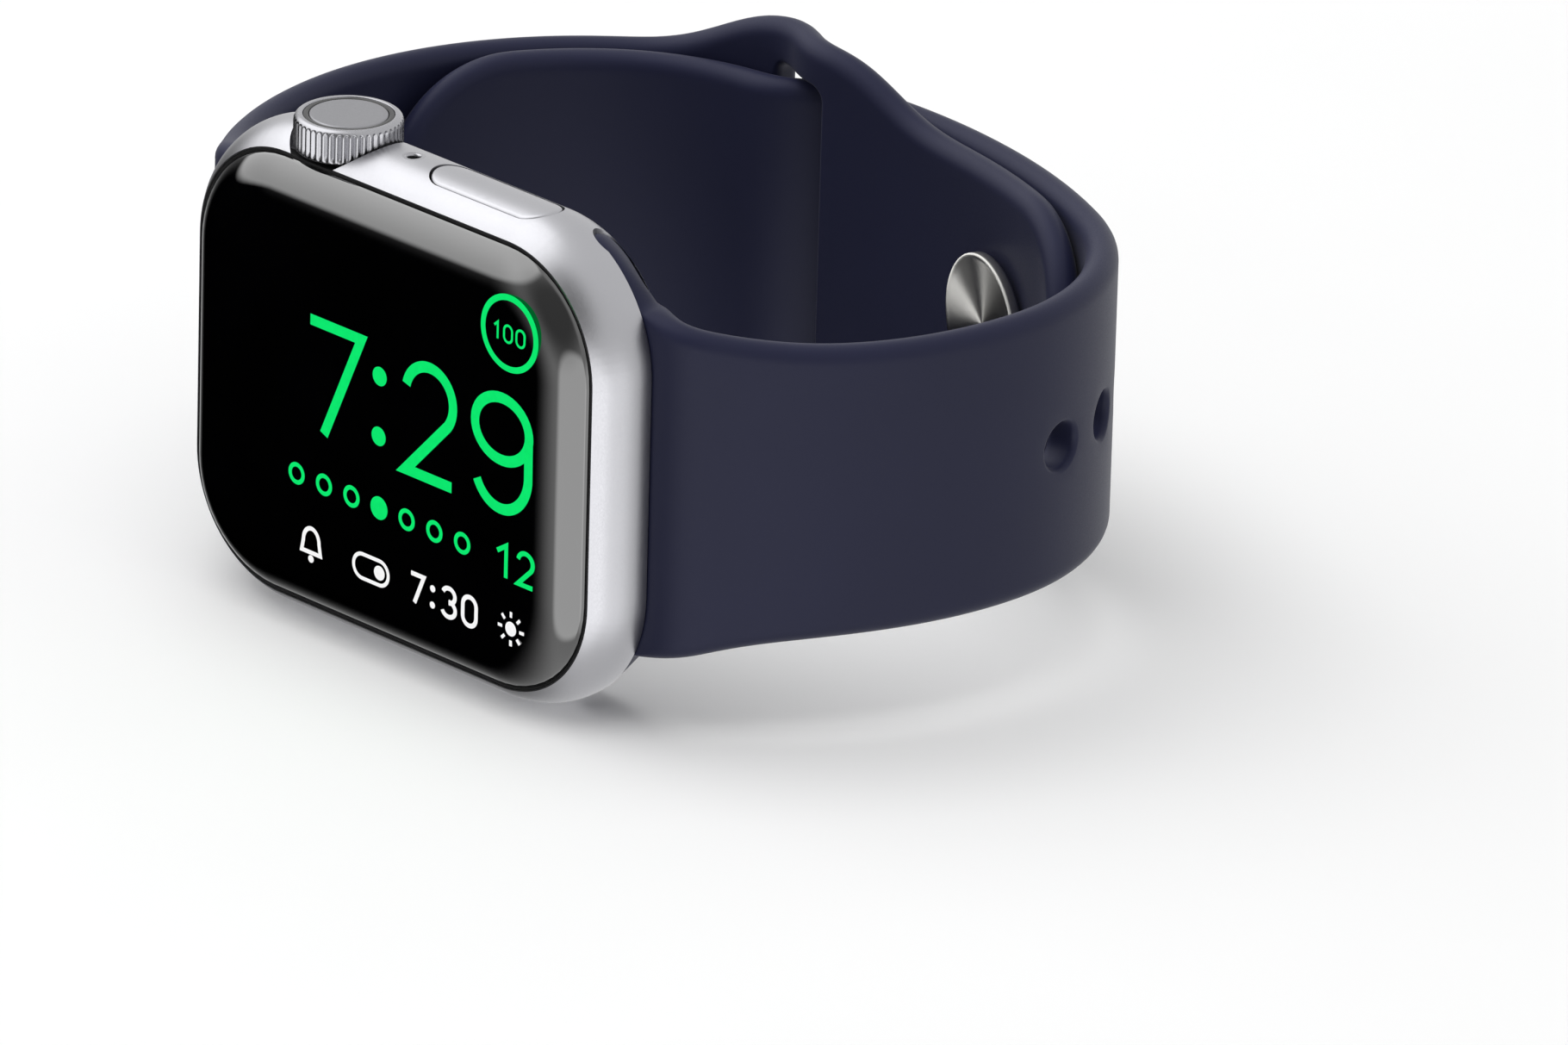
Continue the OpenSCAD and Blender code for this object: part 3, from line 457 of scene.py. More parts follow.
def fill_between(inner, grid, spacing, count):
    """Triangles between closed rings, the first of them outside, and the grid points used among them."""
    outer, others = inner[0][1], [ring for start, ring in inner[1:]]

    def between(points):
        """Which points lie inside the outer ring and outside the others."""
        keep = inside(points, outer)
        for ring in others:
            keep &= ~inside(points, ring)
        return keep

    rim = np.concatenate([ring for start, ring in inner])
    gap = np.full(len(grid), np.inf)
    for part in np.array_split(rim, max(1, len(rim) // 200)):
        gap = np.minimum(gap, np.sqrt(((grid[:, None] - part[None]) ** 2).sum(-1)).min(1))
    grid = grid[between(grid) & (gap > 0.5 * spacing)]
    points = np.concatenate([rim, grid])
    numbers = np.concatenate([np.arange(start, start + len(ring)) for start, ring in inner]
                             + [np.arange(count, count + len(grid))])
    edges, start = [], 0
    for _, ring in inner:
        edges += [(start + i, start + (i + 1) % len(ring)) for i in range(len(ring))]
        start += len(ring)
    corners, _, triangles, origin, _, _ = delaunay_2d_cdt([Vector(p / MM) for p in points], edges,
                                                          [], 0, 1e-5)
    centres = np.array([sum((corners[i] for i in t), Vector((0, 0))) / 3 for t in triangles]) * MM
    good = between(centres)
    return [tuple(numbers[origin[i][0]] for i in t) for t, ok in zip(triangles, good) if ok], grid


def moulded_slab(loops, edges, depths, grid, upper, lower, place, spacing=0.6 * MM, rings=7):
    """Vertices and faces of a closed slab with soft rims, drawn flat in (u, v) and then put in place.

    The first loop is the outline, anticlockwise, and the others are holes, clockwise. edges and depths
    say for each loop how far its rounding reaches in and down; a depth of None is a full round. upper
    and lower give the heights at (u, v), and place maps (u, v, height) to points."""
    flat, share, deep, faces, inner, count = [], [], [], [], [], 0
    for loop, edge, depth in zip(loops, edges, depths):
        n, first = len(loop), count
        for k in range(rings + 1):
            angle = k / rings * math.pi / 2
            flat.append(inset(loop, np.broadcast_to(edge, n) * (1 - math.cos(angle))))
            share.append(np.full(n, 1 - math.sin(angle)))
            deep.append(np.full(n, np.inf if depth is None else depth))
            if k:
                below, here = first + (k - 1) * n, first + k * n
                faces += [(below + i, below + (i + 1) % n, here + (i + 1) % n, here + i) for i in range(n)]
            count += n
        inner.append((count - n, flat[-1]))
    fill, interior = fill_between(inner, grid, spacing, count)
    flat.append(interior)
    share.append(np.zeros(len(interior)))
    deep.append(np.zeros(len(interior)))
    flat, share, deep = np.concatenate(flat), np.concatenate(share), np.concatenate(deep)
    u, v = flat[:, 0], flat[:, 1]
    high, low = upper(u, v), lower(u, v)
    drop = np.minimum(deep, (high - low) / 2) * share
    faces += fill
    total = len(flat)
    faces += [tuple(total + i for i in reversed(face)) for face in faces]
    first = 0
    for loop in loops:
        n = len(loop)
        faces += [(first + i, total + first + i, total + first + (i + 1) % n, first + (i + 1) % n)
                  for i in range(n)]
        first += n * (rings + 1)
    return np.concatenate([place(u, v, high - drop), place(u, v, low + drop)]), faces


def circle_loop(u, v, radius, count=48, clockwise=True):
    """A circle, clockwise for a hole."""
    angle = np.arange(count) / count * 2 * np.pi * (-1 if clockwise else 1)
    return np.stack([u + radius * np.cos(angle), v + radius * np.sin(angle)], 1)


def stadium_loop(u, v, length, width, step=0.3 * MM):
    """An anticlockwise stadium that is long in u."""
    radius, half = width / 2, (length - width) / 2
    runs = max(2, int(2 * half / step))
    turn = np.linspace(-np.pi / 2, np.pi / 2, 25)
    right = np.stack([half + radius * np.cos(turn), radius * np.sin(turn)], 1)
    top = np.stack([np.linspace(half, -half, runs + 1)[1:-1], np.full(runs - 1, radius)], 1)
    return np.concatenate([right, top, -right, -top]) + (u, v)


def box_loop(u, half_u, half_v, radius, step=0.4 * MM):
    """A clockwise rectangle with round corners, for a slot across the strap."""
    points = []
    for su, sv, start in ((1, 1, 0), (-1, 1, 90), (-1, -1, 180), (1, -1, 270)):
        turn = np.radians(start + np.linspace(0, 90, 9))
        points.append(np.stack([su * (half_u - radius) + radius * np.cos(turn),
                                sv * (half_v - radius) + radius * np.sin(turn)], 1))
    loop = np.concatenate(points)
    dense = []
    for here, there in zip(loop, np.roll(loop, -1, 0)):
        n = max(1, int(np.linalg.norm(there - here) / step))
        dense += [here + (there - here) * k / n for k in range(n)]
    return (np.array(dense) + (u, 0))[::-1]


def grid_points(u0, u1, v0, v1, du, dv):
    """A grid of (u, v) points."""
    u, v = np.meshgrid(np.arange(u0, u1, du), np.linspace(v0, v1, max(2, int(round((v1 - v0) / dv)) + 1)))
    return np.stack([u.ravel(), v.ravel()], 1)


def lathe(profile, count, radius_at=None):
    """Vertices and faces of a body turned round Z. profile holds (radius, height), and its first and
    last points lie on the axis, or else it is a closed ring. radius_at changes a radius at an angle."""
    solid = profile[0][0] == 0
    turned = profile[1:-1] if solid else profile
    vertices, faces = [], []
    for r, z in turned:
        for i in range(count):
            angle = 2 * math.pi * i / count
            radius = radius_at(r, z, angle) if radius_at else r
            vertices.append((radius * math.cos(angle), radius * math.sin(angle), z))
    rows = len(turned)
    for k in range(rows - 1 if solid else rows):
        here, above = k * count, (k + 1) % rows * count
        faces += [(here + i, here + (i + 1) % count, above + (i + 1) % count, above + i)
                  for i in range(count)]
    if solid:
        bottom, top, last = len(vertices), len(vertices) + 1, (rows - 1) * count
        vertices += [(0, 0, profile[0][1]), (0, 0, profile[-1][1])]
        for i in range(count):
            faces += [(bottom, (i + 1) % count, i), (top, last + i, last + (i + 1) % count)]
    return vertices, faces


def in_metres(profile):
    """A profile in millimetres, in metres."""
    return [(r * MM, z * MM) for r, z in profile]


def round_off(r, z, radius, start, end, steps=6):
    """Profile points on an arc about (r, z), from one angle to another in degrees."""
    return [(r + radius * math.cos(math.radians(a)), z + radius * math.sin(math.radians(a)))
            for a in np.linspace(start, end, steps)]


# ---------------------------------------------------------------- the strap's path

# The lug's straight run out of the case, and the bend after it in degrees, with its radius
LUG_RUN = 5.2 * MM
LUG_BEND, LUG_BEND_R = 50.8, 2.6 * MM
# The long half: its straight run, then its side, corner and back
LONG_REACH, LONG_SIDE_R = 5 * MM, 25.9 * MM
LONG_CORNER_R, LONG_CORNER_TURN = 18 * MM, 64.2
BACK_R, BACK_TILT = 46 * MM, 7
# The short half: its straight run and side, and the heading at which its corner goes over to its back
SHORT_REACH, SHORT_SIDE_R, SHORT_BREAK = 3 * MM, 23.5 * MM, 135
# The angle at which the halves pass through each other, the length of the tucked tail and how much
# tighter its last bend is, and the end of the short half past the stud
WEAVE = 40
TAIL = 27.4 * MM
TAIL_LIFT = 1.5 * MM
STUD_END = 12.5 * MM
# The lug's axis behind the middle of the case, its place along the case, and its round bulb
LUG_DEPTH = 1.9 * MM
LUG_X = CASE.x / 2 - 5 * MM
BULB_R = 1.35 * MM
# The case's corner radius, and the radius of its round sides
CORNER_R = 9.5 * MM
SIDE_R = 4.4 * MM
# Where the strap starts to narrow from the case, over what distance, and how quickly
FLARE_START = 3.8 * MM
FLARE_REACH = 6.3 * MM
FLARE_POWER = 1.39
KEEPER_POWER = 3.2
# The lug's flat end, the thin rim of its edges, its round corners, and its gap to the case
LUG_END = -0.96 * BULB_R
LUG_RIM = 0.25 * MM
LUG_CORNER = 0.32 * MM
LUG_GAP = 0.06 * MM
# Where the lug's rim goes over to the strap's, and where its sides stop following the case
RIM_FADE = 3 * MM, 6.5 * MM
SIDE_FADE = 1.5 * MM, 3.6 * MM
# How far the rim of each opening reaches in, and how deep
HOLE_RIM = 0.34 * MM, 0.5 * MM
SLOT_RIM = 0.45 * MM, 0.7 * MM
STUD_HOLE_RIM = 0.2 * MM, 0.2 * MM
# The hole under the stud, and the slot: half its length, how far it passes the band, and its corners
STUD_HOLE_R = 1.56 * MM
SLOT_HALF = 2.95 * MM
SLOT_PAST = 0.5 * MM
SLOT_CORNER_R = 0.9 * MM


def arc(radius, turn):
    """A run along an arc: its length and its turn in degrees, left turns positive."""
    return radius * abs(math.radians(turn)), turn


def part_arc(radius, length):
    """A run of a given length along an arc."""
    return length, math.degrees(length / radius)


def run_length(runs):
    """The length of all runs."""
    return sum(length for length, _ in runs)


def ahead(pose, length, turn):
    """The pose (x, y, heading in degrees) at the end of a run."""
    x, y, heading = pose
    h0, h1 = math.radians(heading), math.radians(heading + turn)
    if turn == 0:
        return x + length * math.cos(h0), y + length * math.sin(h0), heading
    r = length / math.radians(turn)
    return x + r * (math.sin(h1) - math.sin(h0)), y + r * (math.cos(h0) - math.cos(h1)), heading + turn


def end_pose(runs, pose):
    """The pose at the end of all runs."""
    for length, turn in runs:
        pose = ahead(pose, length, turn)
    return pose


def strap_paths():
    """The runs of both halves from their lugs, and where the short one crosses the other and the stud."""
    size = strap_sizes()
    layer = size.thickness + size.layer_gap
    lug = [(LUG_RUN, 0), arc(LUG_BEND_R, LUG_BEND)]
    start = (LUG_X, LUG_DEPTH, 0)
    weave_r = layer / (2 * (1 - math.cos(math.radians(WEAVE))))
    weave_l = 2 * weave_r * math.sin(math.radians(WEAVE))
    weave = [arc(weave_r, WEAVE), arc(weave_r, -WEAVE)]
    back_turn = 90 + BACK_TILT - LONG_CORNER_TURN
    long_outer = lug + [(LONG_REACH, 0), arc(LONG_SIDE_R, 90 - LUG_BEND),
                        arc(LONG_CORNER_R, LONG_CORNER_TURN), arc(BACK_R, back_turn)]
    x, y, heading = end_pose(long_outer, start)
    heading = math.radians(heading)
    join = -(x + weave_l * math.cos(heading)), y + weave_l * math.sin(heading)
    # The short half is drawn mirrored, and its two back radii close the loop
    short_side = lug + [(SHORT_REACH, 0), arc(SHORT_SIDE_R, 90 - LUG_BEND)]
    sx, sy, _ = end_pose(short_side, start)
    gap_x, gap_y = join[0] - sx, join[1] - sy
    b, h = math.radians(SHORT_BREAK), math.radians(180 - BACK_TILT)
    ax, ay = math.sin(b) - 1, -math.cos(b)
    bx, by = math.sin(h) - math.sin(b), math.cos(b) - math.cos(h)
    corner_r = (gap_x * by - bx * gap_y) / (ax * by - bx * ay)
    back_r = (ax * gap_y - gap_x * ay) / (ax * by - bx * ay)
    turn = 180 - BACK_TILT - SHORT_BREAK
    short_outer = short_side + [arc(corner_r, SHORT_BREAK - 90), arc(back_r, turn)]
    tail_bend = arc(back_r - layer, turn)
    long_runs = long_outer + weave + [tail_bend, part_arc(corner_r - layer - TAIL_LIFT, TAIL - tail_bend[0])]
    stud_run = (run_length(long_outer) - size.stud_at) * (BACK_R - layer) / BACK_R
    past = [arc(BACK_R - layer, back_turn)]
    past.append(part_arc(LONG_CORNER_R - layer, stud_run + STUD_END - past[0][0]))
    short_runs = short_outer + weave + past
    half_weave = weave[0][0]
    return {"long": long_runs, "short": short_runs,
            "short_cross": run_length(short_outer) + half_weave,
            "short_stud": run_length(short_outer) + 2 * half_weave + stud_run}


def follow(runs, smoothing=0.7 * MM, step=0.05 * MM, before=3 * MM):
    """A function from distance to (x, y, heading in radians) along runs whose bends ease in and out."""
    total = run_length(runs)
    s = np.arange(-before, total + before, step)
    ends = np.cumsum([0] + [length for length, turn in runs])
    headings = np.radians(np.cumsum([0] + [turn for length, turn in runs]))
    heading = np.interp(s, ends, headings)
    reach = int(3 * smoothing / step)
    weights = np.exp(-0.5 * (np.arange(-reach, reach + 1) * step / smoothing) ** 2)
    heading = np.convolve(np.pad(heading, reach, mode="edge"), weights / weights.sum(), "valid")
    x = np.cumsum(np.cos(heading)) * step
    y = np.cumsum(np.sin(heading)) * step
    x += LUG_X - np.interp(0, s, x)
    y += LUG_DEPTH - np.interp(0, s, y)
    return lambda d: (np.interp(d, s, x), np.interp(d, s, y), np.interp(d, s, heading))


def draw_in(depth):
    """How far the rounded case side has drawn in at a distance from its widest line."""
    return SIDE_R - np.sqrt(SIDE_R ** 2 - np.clip(depth, -SIDE_R, SIDE_R) ** 2)


def case_half_width(x, depth):
    """Half the width of the case at a distance from its middle, at a depth."""
    into = np.clip(np.abs(x) - (CASE.x / 2 - CORNER_R), 0, None)
    radius = CORNER_R - draw_in(depth)
    return CASE_HALF_W - CORNER_R + np.sqrt(np.clip(radius ** 2 - into ** 2, 0, None))


def ease(x, low, high):
    """0 below low, 1 above high, smooth between."""
    t = np.clip((x - low) / (high - low), 0, 1)
    return t * t * (3 - 2 * t)


def strap_half_width(s, total, keeper_at):
    """Half the width of a strap half at a distance from its lug's axis."""
    size = strap_sizes()
    half = size.width / 2
    wide = half + size.flare * np.exp(-(np.clip(s - FLARE_START, 0, None) / FLARE_REACH) ** FLARE_POWER)
    if keeper_at is not None:
        wide = wide + size.keeper * np.exp(-(np.abs(s - keeper_at) / size.keeper_reach) ** KEEPER_POWER)
    lug = case_half_width(LUG_X + s, LUG_DEPTH) - LUG_GAP
    wide = np.where(s < FLARE_START, np.maximum(lug, half + size.flare), wide)
    into = np.clip(s - (total - half), 0, half)
    return np.where(s > total - half, np.sqrt(np.clip(half ** 2 - into ** 2, 0, None)), wide)


def strap_outline(total, keeper_at):
    """The anticlockwise outline of a strap half laid flat, from its lug to its round tip."""
    half = strap_sizes().width / 2
    run = np.arange(LUG_END + LUG_CORNER + 0.1 * MM, total - half, 0.4 * MM)
    tip = total - half + half * np.sin(np.linspace(0.02, 0.5, 40) * np.pi)
    s = np.concatenate([run, tip])
    w = strap_half_width(s, total, keeper_at)
    turn = np.linspace(0, np.pi / 2, 6)
    s_corner = LUG_END + LUG_CORNER * (1 - np.cos(turn))
    w_corner = w[0] - LUG_CORNER * (1 - np.sin(turn))
    across = np.linspace(w_corner[0], -w_corner[0], 42)[1:-1]
    s, w = np.concatenate([s_corner, s]), np.concatenate([w_corner, w])
    return np.concatenate([np.stack([s, -w], 1), np.stack([s, w], 1)[::-1][1:],
                           np.stack([np.full(len(across), LUG_END), across], 1)])


def build_strap(name, side, runs, keeper_at, openings):
    """One strap half: a thick band with soft rims that follows its path, and its lug in the case.

    openings holds a clockwise loop and its rim's reach and depth for each opening."""
    size = strap_sizes()
    total = run_length(runs)
    path = follow(runs)
    outline = strap_outline(total, keeper_at)
    edge = LUG_RIM + (size.edge - LUG_RIM) * ease(outline[:, 0], *RIM_FADE)

    def half_thickness(s, v):
        """Half the thickness at a distance from the lug's axis, whose round bulb is thicker."""
        bulb = np.sqrt(np.clip(BULB_R ** 2 - s ** 2, (0.02 * MM) ** 2, None))
        return np.where(s < 0, bulb, np.maximum(bulb, size.thickness / 2))

    def place(s, v, height):
        """Bends the flat band along its path, and lets the ends of the lug follow the case's sides."""
        x, y, heading = path(s)
        along = LUG_X + s
        slope = (1 - ease(s, *SIDE_FADE)) * np.clip(np.abs(v) / (8 * MM), 0, 1)
        drawn = case_half_width(along, LUG_DEPTH + height) - case_half_width(along, LUG_DEPTH)
        x, y = x - height * np.sin(heading), y + height * np.cos(heading)
        return np.stack([side * x, y, MID_Z + v + np.sign(v) * drawn * slope], 1)

    grid = grid_points(0.3 * MM, total - 0.4 * MM, -CASE_HALF_W, CASE_HALF_W, 0.55 * MM, 1.4 * MM)
    loops, reaches, depths = zip((outline, edge, None), *openings)
    vertices, faces = moulded_slab(loops, reaches, depths, grid, half_thickness,
                                   lambda s, v: -half_thickness(s, v), place)
    return add_piece(f"strap_{name}_band", vertices, faces, finish("fluoroelastomer_moulded"), "strap",
                     "strap_rubber", [f"strap_{name}"])


# ---------------------------------------------------------------- operators

class WATCH_OT_strap_long(bpy.types.Operator):
    """Moulds the long strap half, with its adjustment holes."""

    bl_idname = "watch.strap_long"
    bl_label = "Long strap half"

    def execute(self, context):
        size = strap_sizes()
        paths = strap_paths()
        holes = [(circle_loop(size.stud_at + k * size.hole_pitch, 0, size.hole / 2), *HOLE_RIM)
                 for k in range(-4, 3)]
        build_strap("long", 1, paths["long"], None, holes)
        return {"FINISHED"}


class WATCH_OT_strap_short(bpy.types.Operator):
    """Moulds the short strap half, with its keeper, its slot and the hole under the stud."""

    bl_idname = "watch.strap_short"
    bl_label = "Short strap half"

    def execute(self, context):
        size = strap_sizes()
        paths = strap_paths()
        slot = box_loop(paths["short_cross"], SLOT_HALF, size.width / 2 + SLOT_PAST, SLOT_CORNER_R)
        stud = circle_loop(paths["short_stud"], 0, STUD_HOLE_R)
        build_strap("short", -1, paths["short"], paths["short_cross"],
                    [(slot, *SLOT_RIM), (stud, *STUD_HOLE_RIM)])
        return {"FINISHED"}


class WATCH_OT_case(bpy.types.Operator):
    """Finishes the case, and sets a bright ring round the microphone hole."""

    bl_idname = "watch.case"
    bl_label = "Case"

    def execute(self, context):
        refinish(["case_body"], "aluminium_bead_blasted")
        refinish(["glass_gasket", "back_gasket"], "nitrile_moulded")
        refinish(["back_plate"], "ceramic_polished")
        spot = middle("mic_mesh")
        outer = circle_loop(spot.x, spot.y, 0.78 * MM, clockwise=False)
        hole = circle_loop(spot.x, spot.y, 0.42 * MM)
        vertices, faces = moulded_slab(
            [outer, hole], [0.03 * MM, 0.2 * MM], [0.006 * MM, 0.2 * MM], np.zeros((0, 2)),
            lambda u, v: case_half_width(u, v) + 0.004 * MM,
            lambda u, v: case_half_width(u, v) - 0.5 * MM,
            lambda u, v, height: np.stack([u, v, MID_Z + height], 1))
        add_piece("microphone_rim", vertices, faces, finish("aluminium_turned"), "case", "case_aluminium")
        return {"FINISHED"}


def glass_ring(inset_by, steps=14):
    """The outline of the glass in X and Z, set in by a distance, with the same points at any inset."""
    low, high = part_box("cover_glass")
    half_x, half_z = (high.x - low.x) / 2, (high.z - low.z) / 2
    points = []
    for sx, sz, start in ((1, 1, 0), (-1, 1, 90), (-1, -1, 180), (1, -1, 270)):
        turn = np.radians(start + np.linspace(0, 90, steps))
        r = GLASS_R - inset_by
        points.append(np.stack([sx * (half_x - GLASS_R) + r * np.cos(turn),
                                sz * (half_z - GLASS_R) + r * np.sin(turn)], 1))
    return np.concatenate(points)


class WATCH_OT_cover_glass(bpy.types.Operator):
    """Makes the cover glass: a flat front that rolls over smoothly into its gasket."""

    bl_idname = "watch.cover_glass"
    bl_label = "Cover glass"

    def execute(self, context):
        low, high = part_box("cover_glass")
        shoulder = low.y + GLASS_RISE
        arc_r = (GLASS_CURVE ** 2 + GLASS_RISE ** 2) / (2 * GLASS_RISE)
        reach = math.asin(GLASS_CURVE / arc_r)
        roof, pocket = low.y + 1 * MM, GLASS_CURVE - 0.8 * MM
        section = [(pocket, roof), (pocket, high.y), (0.06 * MM, high.y), (0, high.y - 0.06 * MM),
                   (0, shoulder + 0.05 * MM)]
        for a in np.linspace(reach, 0, 15):
            section.append((GLASS_CURVE - arc_r * math.sin(a), low.y + arc_r * (1 - math.cos(a))))
        vertices, faces = [], []
        for inset_by, y in section:
            ring = glass_ring(inset_by)
            vertices += [(x, y, MID_Z + z) for x, z in ring]
        n = len(ring)
        for k in range(len(section) - 1):
            faces += [(k * n + i, k * n + (i + 1) % n, (k + 1) * n + (i + 1) % n, (k + 1) * n + i)
                      for i in range(n)]
        faces += [tuple(range(n)), tuple(range((len(section) - 1) * n, len(section) * n))]
        add_piece("cover_glass_front", vertices, faces, finish("glass_black_printed"), "case", "cover_glass",
                  ["cover_glass"], sharp=40)
        return {"FINISHED"}


def ribbon(points, width, closed=False):
    """Vertices and faces of a flat closed inlay that follows a line in X and Z on the glass.

    The points and the width are in millimetres from the middle of the glass."""
    p = np.array(points, float) * MM + (0, MID_Z)
    width, n = width * MM, len(p)
    ahead_of = np.roll(p, -1, 0) - p
    if not closed:
        ahead_of[-1] = ahead_of[-2]
    ahead_of /= np.linalg.norm(ahead_of, axis=1)[:, None]
    behind = np.roll(ahead_of, 1, 0)
    if not closed:
        behind[0] = ahead_of[0]
    normal = np.stack([-ahead_of[:, 1] - behind[:, 1], ahead_of[:, 0] + behind[:, 0]], 1)
    normal /= np.linalg.norm(normal, axis=1)[:, None]
    reach = 1 / np.clip((normal * np.stack([-ahead_of[:, 1], ahead_of[:, 0]], 1)).sum(1), 0.3, None)
    side = normal * (reach * width / 2)[:, None]
    vertices = []
    for y in (GLASS_FRONT - 0.008 * MM, GLASS_FRONT + 0.03 * MM):
        for q in (p + side, p - side):
            vertices += [(x, y, z) for x, z in q]
    faces = []
    for i in range(n if closed else n - 1):
        j = (i + 1) % n
        faces += [(i, j, n + j, n + i), (2 * n + i, 3 * n + i, 3 * n + j, 2 * n + j),
                  (i, 2 * n + i, 2 * n + j, j), (n + i, n + j, 3 * n + j, 3 * n + i)]
    if not closed:
        e = n - 1
        faces += [(0, n, 3 * n, 2 * n), (e, 2 * n + e, 3 * n + e, n + e)]
    return vertices, faces


def bow(u, v, ru, rv, start, end, steps=28):
    """Points on an ellipse about (u, v), from one angle to another in degrees."""
    return [(u + ru * math.cos(math.radians(a)), v + rv * math.sin(math.radians(a)))
            for a in np.linspace(start, end, steps)]


def digit_strokes(digit, w, h):
    """The strokes of a digit as (points, closed), within w by h. The last is a 3."""
    r = w / 2
    if digit == "7":
        return [([(0, h), (w, h), (0.3 * w, 0)], False)]
    if digit == "2":
        return [(bow(r, h - r, r, r, 168, -38) + [(0.02 * w, 0), (w, 0)], False)]
    if digit == "9":
        eye = 0.56 * h
        tail = bow(r, h - eye / 2, r, eye / 2, 0, -8, 3) + bow(r, 0.36 * h, r, 0.36 * h, -4, -152)
        return [(bow(r, h - eye / 2, r, eye / 2, 0, 352, 40), True), (tail, False)]
    if digit == "0":
        return [(bow(r, h - r, r, r, 0, 180) + bow(r, r, r, r, 180, 360), True)]
    if digit == "1":
        return [([(0, 0.76 * h), (0.62 * w, h), (0.62 * w, 0)], False)]
    return [(bow(r, 0.745 * h, 0.92 * r, 0.255 * h, 160, -90), False),
            (bow(r, 0.265 * h, r, 0.265 * h, 90, -160), False)]


def written(text, x, z, w, h, pitch, stroke):
    """Inlay shapes for a row of digits whose lower left corner is at (x, z), in millimetres."""
    shapes = []
    for k, digit in enumerate(text):
        for points, closed in digit_strokes(digit, w, h):
            shapes.append(ribbon([(x + k * pitch + u, z + v) for u, v in points], stroke, closed))
    return shapes


def dot(x, z, radius):
    """A round inlay."""
    return ribbon(bow(x, z, radius / 2, radius / 2, 0, 345, 24), radius, True)


class WATCH_OT_display(bpy.types.Operator):
    """Lights the display: the time, the day dots, the alarm line and the charge ring."""

    bl_idname = "watch.display"
    bl_label = "Display"

    def execute(self, context):
        # All places are in millimetres from the middle of the glass
        stroke = control_sizes().stroke / MM
        big = [dot(0.6, z, 0.66) for z in (3.6, -0.6)]
        for digit, x, w in (("7", -6.4, 5.6), ("2", 2.7, 5.2), ("9", 9.2, 5.8)):
            big += written(digit, x + stroke / 2, stroke / 2 - 2.45, w - stroke, 8.45 - stroke, 0, stroke)
        green = oled_light("oled_green", colours().display)
        add_piece("display_time", *joined(big), green, "case", "display_stack")
        line = written("12", 11.9, -6.75, 1.35, 2.25, 1.95, 0.33)
        for day in range(7):
            x, z = 2.62 * day - 7.1, -5.6
            line.append(dot(x, z, 0.8) if day == 3 else ribbon(bow(x, z, 0.62, 0.62, 0, 345, 24), 0.3, True))
        add_piece("display_days", *joined(line), green, "case", "display_stack")
        low = -11.15
        alarm = written("7", 3.9, low, 1.2, 2.0, 0, 0.32) + written("30", 6.85, low, 1.25, 2.0, 1.95, 0.32)
        alarm += [dot(5.95, low + 1.5, 0.24), dot(5.95, low + 0.35, 0.24)]
        bell = bow(-5.6, low + 1.15, 0.75, 0.95, 180, 0, 16)
        bell = [(-6.5, low + 0.4)] + bell + [(-4.7, low + 0.4)]
        alarm += [ribbon(bell, 0.3, True), dot(-5.6, low - 0.05, 0.26)]
        switch = bow(0.9, low + 1, 0.85, 0.85, -90, 90) + bow(-0.7, low + 1, 0.85, 0.85, 90, 270)
        alarm += [ribbon(switch, 0.26, True), dot(0.9, low + 1, 0.5), dot(13.3, low + 1, 0.5)]
        for ray in range(8):
            c, s = math.cos(ray * math.pi / 4), math.sin(ray * math.pi / 4)
            alarm.append(ribbon([(13.3 + r * c, low + 1 + r * s) for r in (0.8, 1.2)], 0.22))
        add_piece("display_alarm", *joined(alarm), oled_light("oled_white", colours().display_white), "case",
                  "display_stack")
        ring = ribbon(bow(12.6, 10.25, 2.45, 2.45, 90, -264, 72), 0.42, True)
        add_piece("display_charge_ring", *ring, green, "case", "display_stack")
        charge = written("1", 11.2, 9.6, 0.5, 1.15, 0, 0.17)
        charge += written("00", 12.1, 9.6, 0.75, 1.15, 1.15, 0.17)
        add_piece("display_charge", *joined(charge), green, "case", "display_stack")
        return {"FINISHED"}


def crown_part(node):
    """The radius and the height in millimetres of a part of the crown, and the place of its foot."""
    low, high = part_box(node)
    foot = Matrix.Translation((CROWN_AXIS.x, CROWN_AXIS.y, low.z))
    return (high.x - low.x) / 2 / MM, (high.z - low.z) / MM, foot


